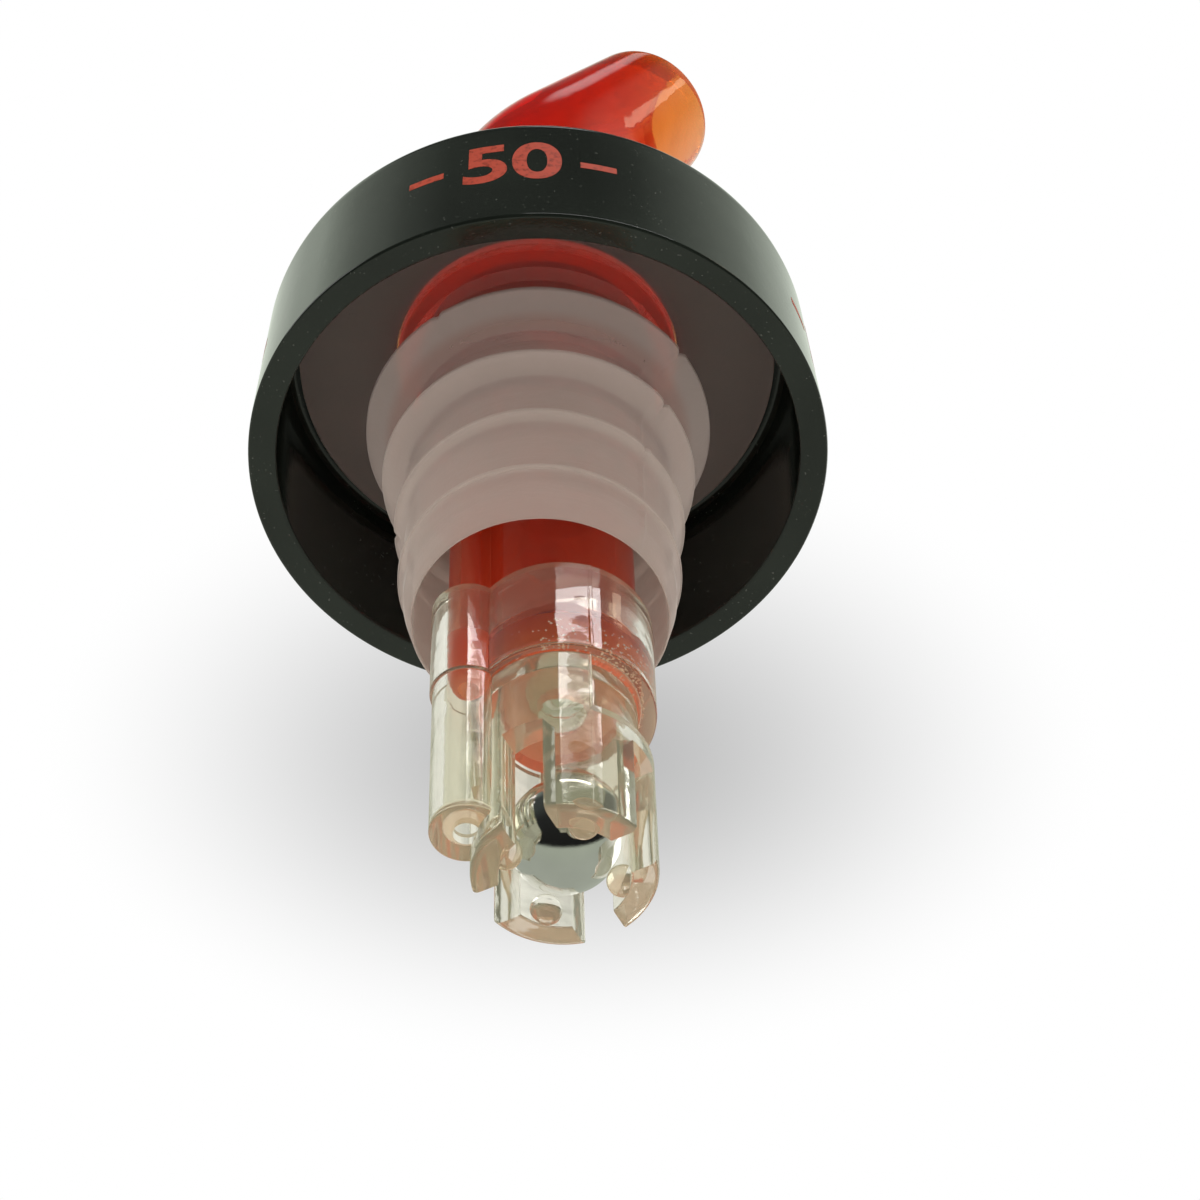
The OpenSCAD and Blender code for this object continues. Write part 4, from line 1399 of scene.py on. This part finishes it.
# The studio in reflections, by the angle above the camera's line of sight, looking back from the object: a
# pale table below, and a dark room above it
ROOM = [
    (-180, (0.42, 0.45, 0.38)), (-60, (0.40, 0.43, 0.36)), (-19, (0.42, 0.46, 0.37)),
    (-15, (0.012, 0.012, 0.011)), (50, (0.02, 0.021, 0.02)), (80, (0.045, 0.05, 0.045)),
    (150, (0.06, 0.065, 0.06)), (180, (0.42, 0.44, 0.4)),
]
# How closely a way must follow the camera's, as a cosine, before the white sweep begins to show through clear
# walls, and before it shows in full
SWEEP = (0.35, 0.75)
# The pale walls that gloss mirrors: degrees round from +X and brightness, between heights in degrees
WALL = [
    (-180, 0.31), (-172, 0.21), (-150, 0.06), (-82, 0.03), (-60, 0.09), (-26, 0.38), (11, 0.65), (40, 0.62),
    (60, 0.5), (90, 0.5), (125, 0.6), (139, 0.8), (150, 0.66), (160, 0.48), (180, 0.31),
]
WALL_TINT = (0.9, 1.0, 0.84)
WALL_HEIGHTS = [math.radians(v) for v in (44, 55, 66, 75)]
# A small soft light overhead: degrees round, degrees up, inner and outer radius in degrees, brightness
OVERHEAD = (-38, 87, 2, 6, 0.9)
# The glow of the room that scatters in clear walls
ROOM_GLOW = (0.48, 0.48, 0.4, 1)
ROOM_GLOW_SHARE = 0.7
# What dull surfaces get from all sides
FILL = (0.84, 0.9, 0.84, 1)


def colour_ramp(graph, angle, stops):
    """Colours by angle, from stops of degrees and colour between -180 and 180."""
    ramp = graph.add("ShaderNodeValToRGB", Fac=graph.span(angle, -math.pi, math.pi, smooth=False))
    elements = ramp.color_ramp.elements
    while len(elements) < len(stops):
        elements.new(1.0)
    for element, (degrees, tone) in zip(elements, stops):
        element.position = (degrees + 180) / 360
        element.color = tone + (1,)
    return ramp.outputs[0]


def add_world(scene, stage):
    """White all round for the camera, with the soft grey shade that lies behind the object."""
    world = bpy.data.worlds.new("studio")
    scene.world = world
    world.use_nodes = True
    world.node_tree.nodes.clear()
    graph = Graph(world.node_tree)
    where = graph.add("ShaderNodeTexCoord").outputs["Generated"]
    right, up = view_axes()
    depth, raised = graph.dot(where, tuple(VIEW_ALONG)), graph.dot(where, tuple(up))
    pixels = stage.focal / SENSOR * FRAME_PX
    off_shade = []
    for along, middle, reach in (
            (graph.dot(where, tuple(right)), SHADE_MIDDLE[0] - FRAME_PX / 2, SHADE_REACH[0]),
            (raised, FRAME_PX / 2 - SHADE_MIDDLE[1], SHADE_REACH[1])):
        off = graph.maths("SUBTRACT", graph.maths("DIVIDE", along, depth), middle / pixels)
        off_shade.append(graph.maths("DIVIDE", off, reach / pixels))
    shade = graph.span(graph.distance(*off_shade), 0.0, 1.0, SHADE_DARK, 1.0)
    grey = graph.add("ShaderNodeCombineColor", _0=shade, _1=shade, _2=shade)
    white = graph.blend(graph.maths("GREATER_THAN", depth, 0.0), (1, 1, 1, 1), grey)
    lift = graph.maths("ARCTAN2", raised, graph.product(depth, -1.0))
    ramp = colour_ramp(graph, lift, ROOM)
    x, y, z = graph.parts(where)
    wall = colour_ramp(graph, graph.maths("ARCTAN2", y, x), [
        (angle, tuple(bright * channel for channel in WALL_TINT)) for angle, bright in WALL])
    height = graph.maths("ARCSINE", z)
    low, low_full, high_full, high = WALL_HEIGHTS
    window = graph.product(graph.span(height, low, low_full), graph.span(height, high_full, high, 1.0, 0.0))
    mirrored = graph.blend(window, ramp, wall, "ADD")
    *angles, bright = OVERHEAD
    turn, rise, inner, outer = (math.radians(v) for v in angles)
    glow = graph.span(graph.dot(where, tuple(direction(turn, rise))), math.cos(outer), math.cos(inner))
    mirrored = graph.blend(glow, mirrored, (bright, bright, bright, 1), "ADD")
    unswept = graph.blend(window, graph.blend(ROOM_GLOW_SHARE, ramp, ROOM_GLOW), wall)
    through = graph.blend(graph.span(depth, *SWEEP), unswept, white)
    path = graph.add("ShaderNodeLightPath").outputs
    unlit = graph.blend(path["Is Glossy Ray"], FILL, mirrored)
    room = graph.blend(path["Is Transmission Ray"], unlit, through)
    seen = graph.add("ShaderNodeBackground", Color=white, Strength=1.0)
    felt = graph.add("ShaderNodeBackground", Color=room, Strength=stage.fill)
    output = graph.add("ShaderNodeOutputWorld")
    graph.put(output.inputs["Surface"], graph.mix(path["Is Camera Ray"], felt, seen))


class POURER_PT_panel(bpy.types.Panel):
    """Lists the pieces and their main sizes"""

    bl_label = "Pourer"
    bl_idname = "POURER_PT_panel"
    bl_space_type = "VIEW_3D"
    bl_region_type = "UI"
    bl_category = "Pourer"

    def draw(self, context):
        for operator in OPERATORS:
            self.layout.operator(operator.bl_idname, text=operator.bl_label)
        for attribute, group in SETTINGS.items():
            box = self.layout.box()
            box.label(text=group.__doc__)
            for name in group.__annotations__:
                box.prop(getattr(context.scene, attribute), name)


OPERATORS = [
    POURER_OT_stage, POURER_OT_collar, POURER_OT_print, POURER_OT_stopper, POURER_OT_body, POURER_OT_cap,
    POURER_OT_bubbles, POURER_OT_balls, POURER_OT_spout,
]


def register():
    for cls in list(SETTINGS.values()) + OPERATORS + [POURER_PT_panel]:
        bpy.utils.register_class(cls)
    for attribute, group in SETTINGS.items():
        setattr(bpy.types.Scene, attribute, bpy.props.PointerProperty(type=group))


def unregister():
    for attribute in SETTINGS:
        delattr(bpy.types.Scene, attribute)
    for cls in reversed(list(SETTINGS.values()) + OPERATORS + [POURER_PT_panel]):
        bpy.utils.unregister_class(cls)


def main():
    register()
    for operator in OPERATORS:
        group, name = operator.bl_idname.split(".")
        getattr(getattr(bpy.ops, group), name)()


if __name__ == "__main__":
    main()
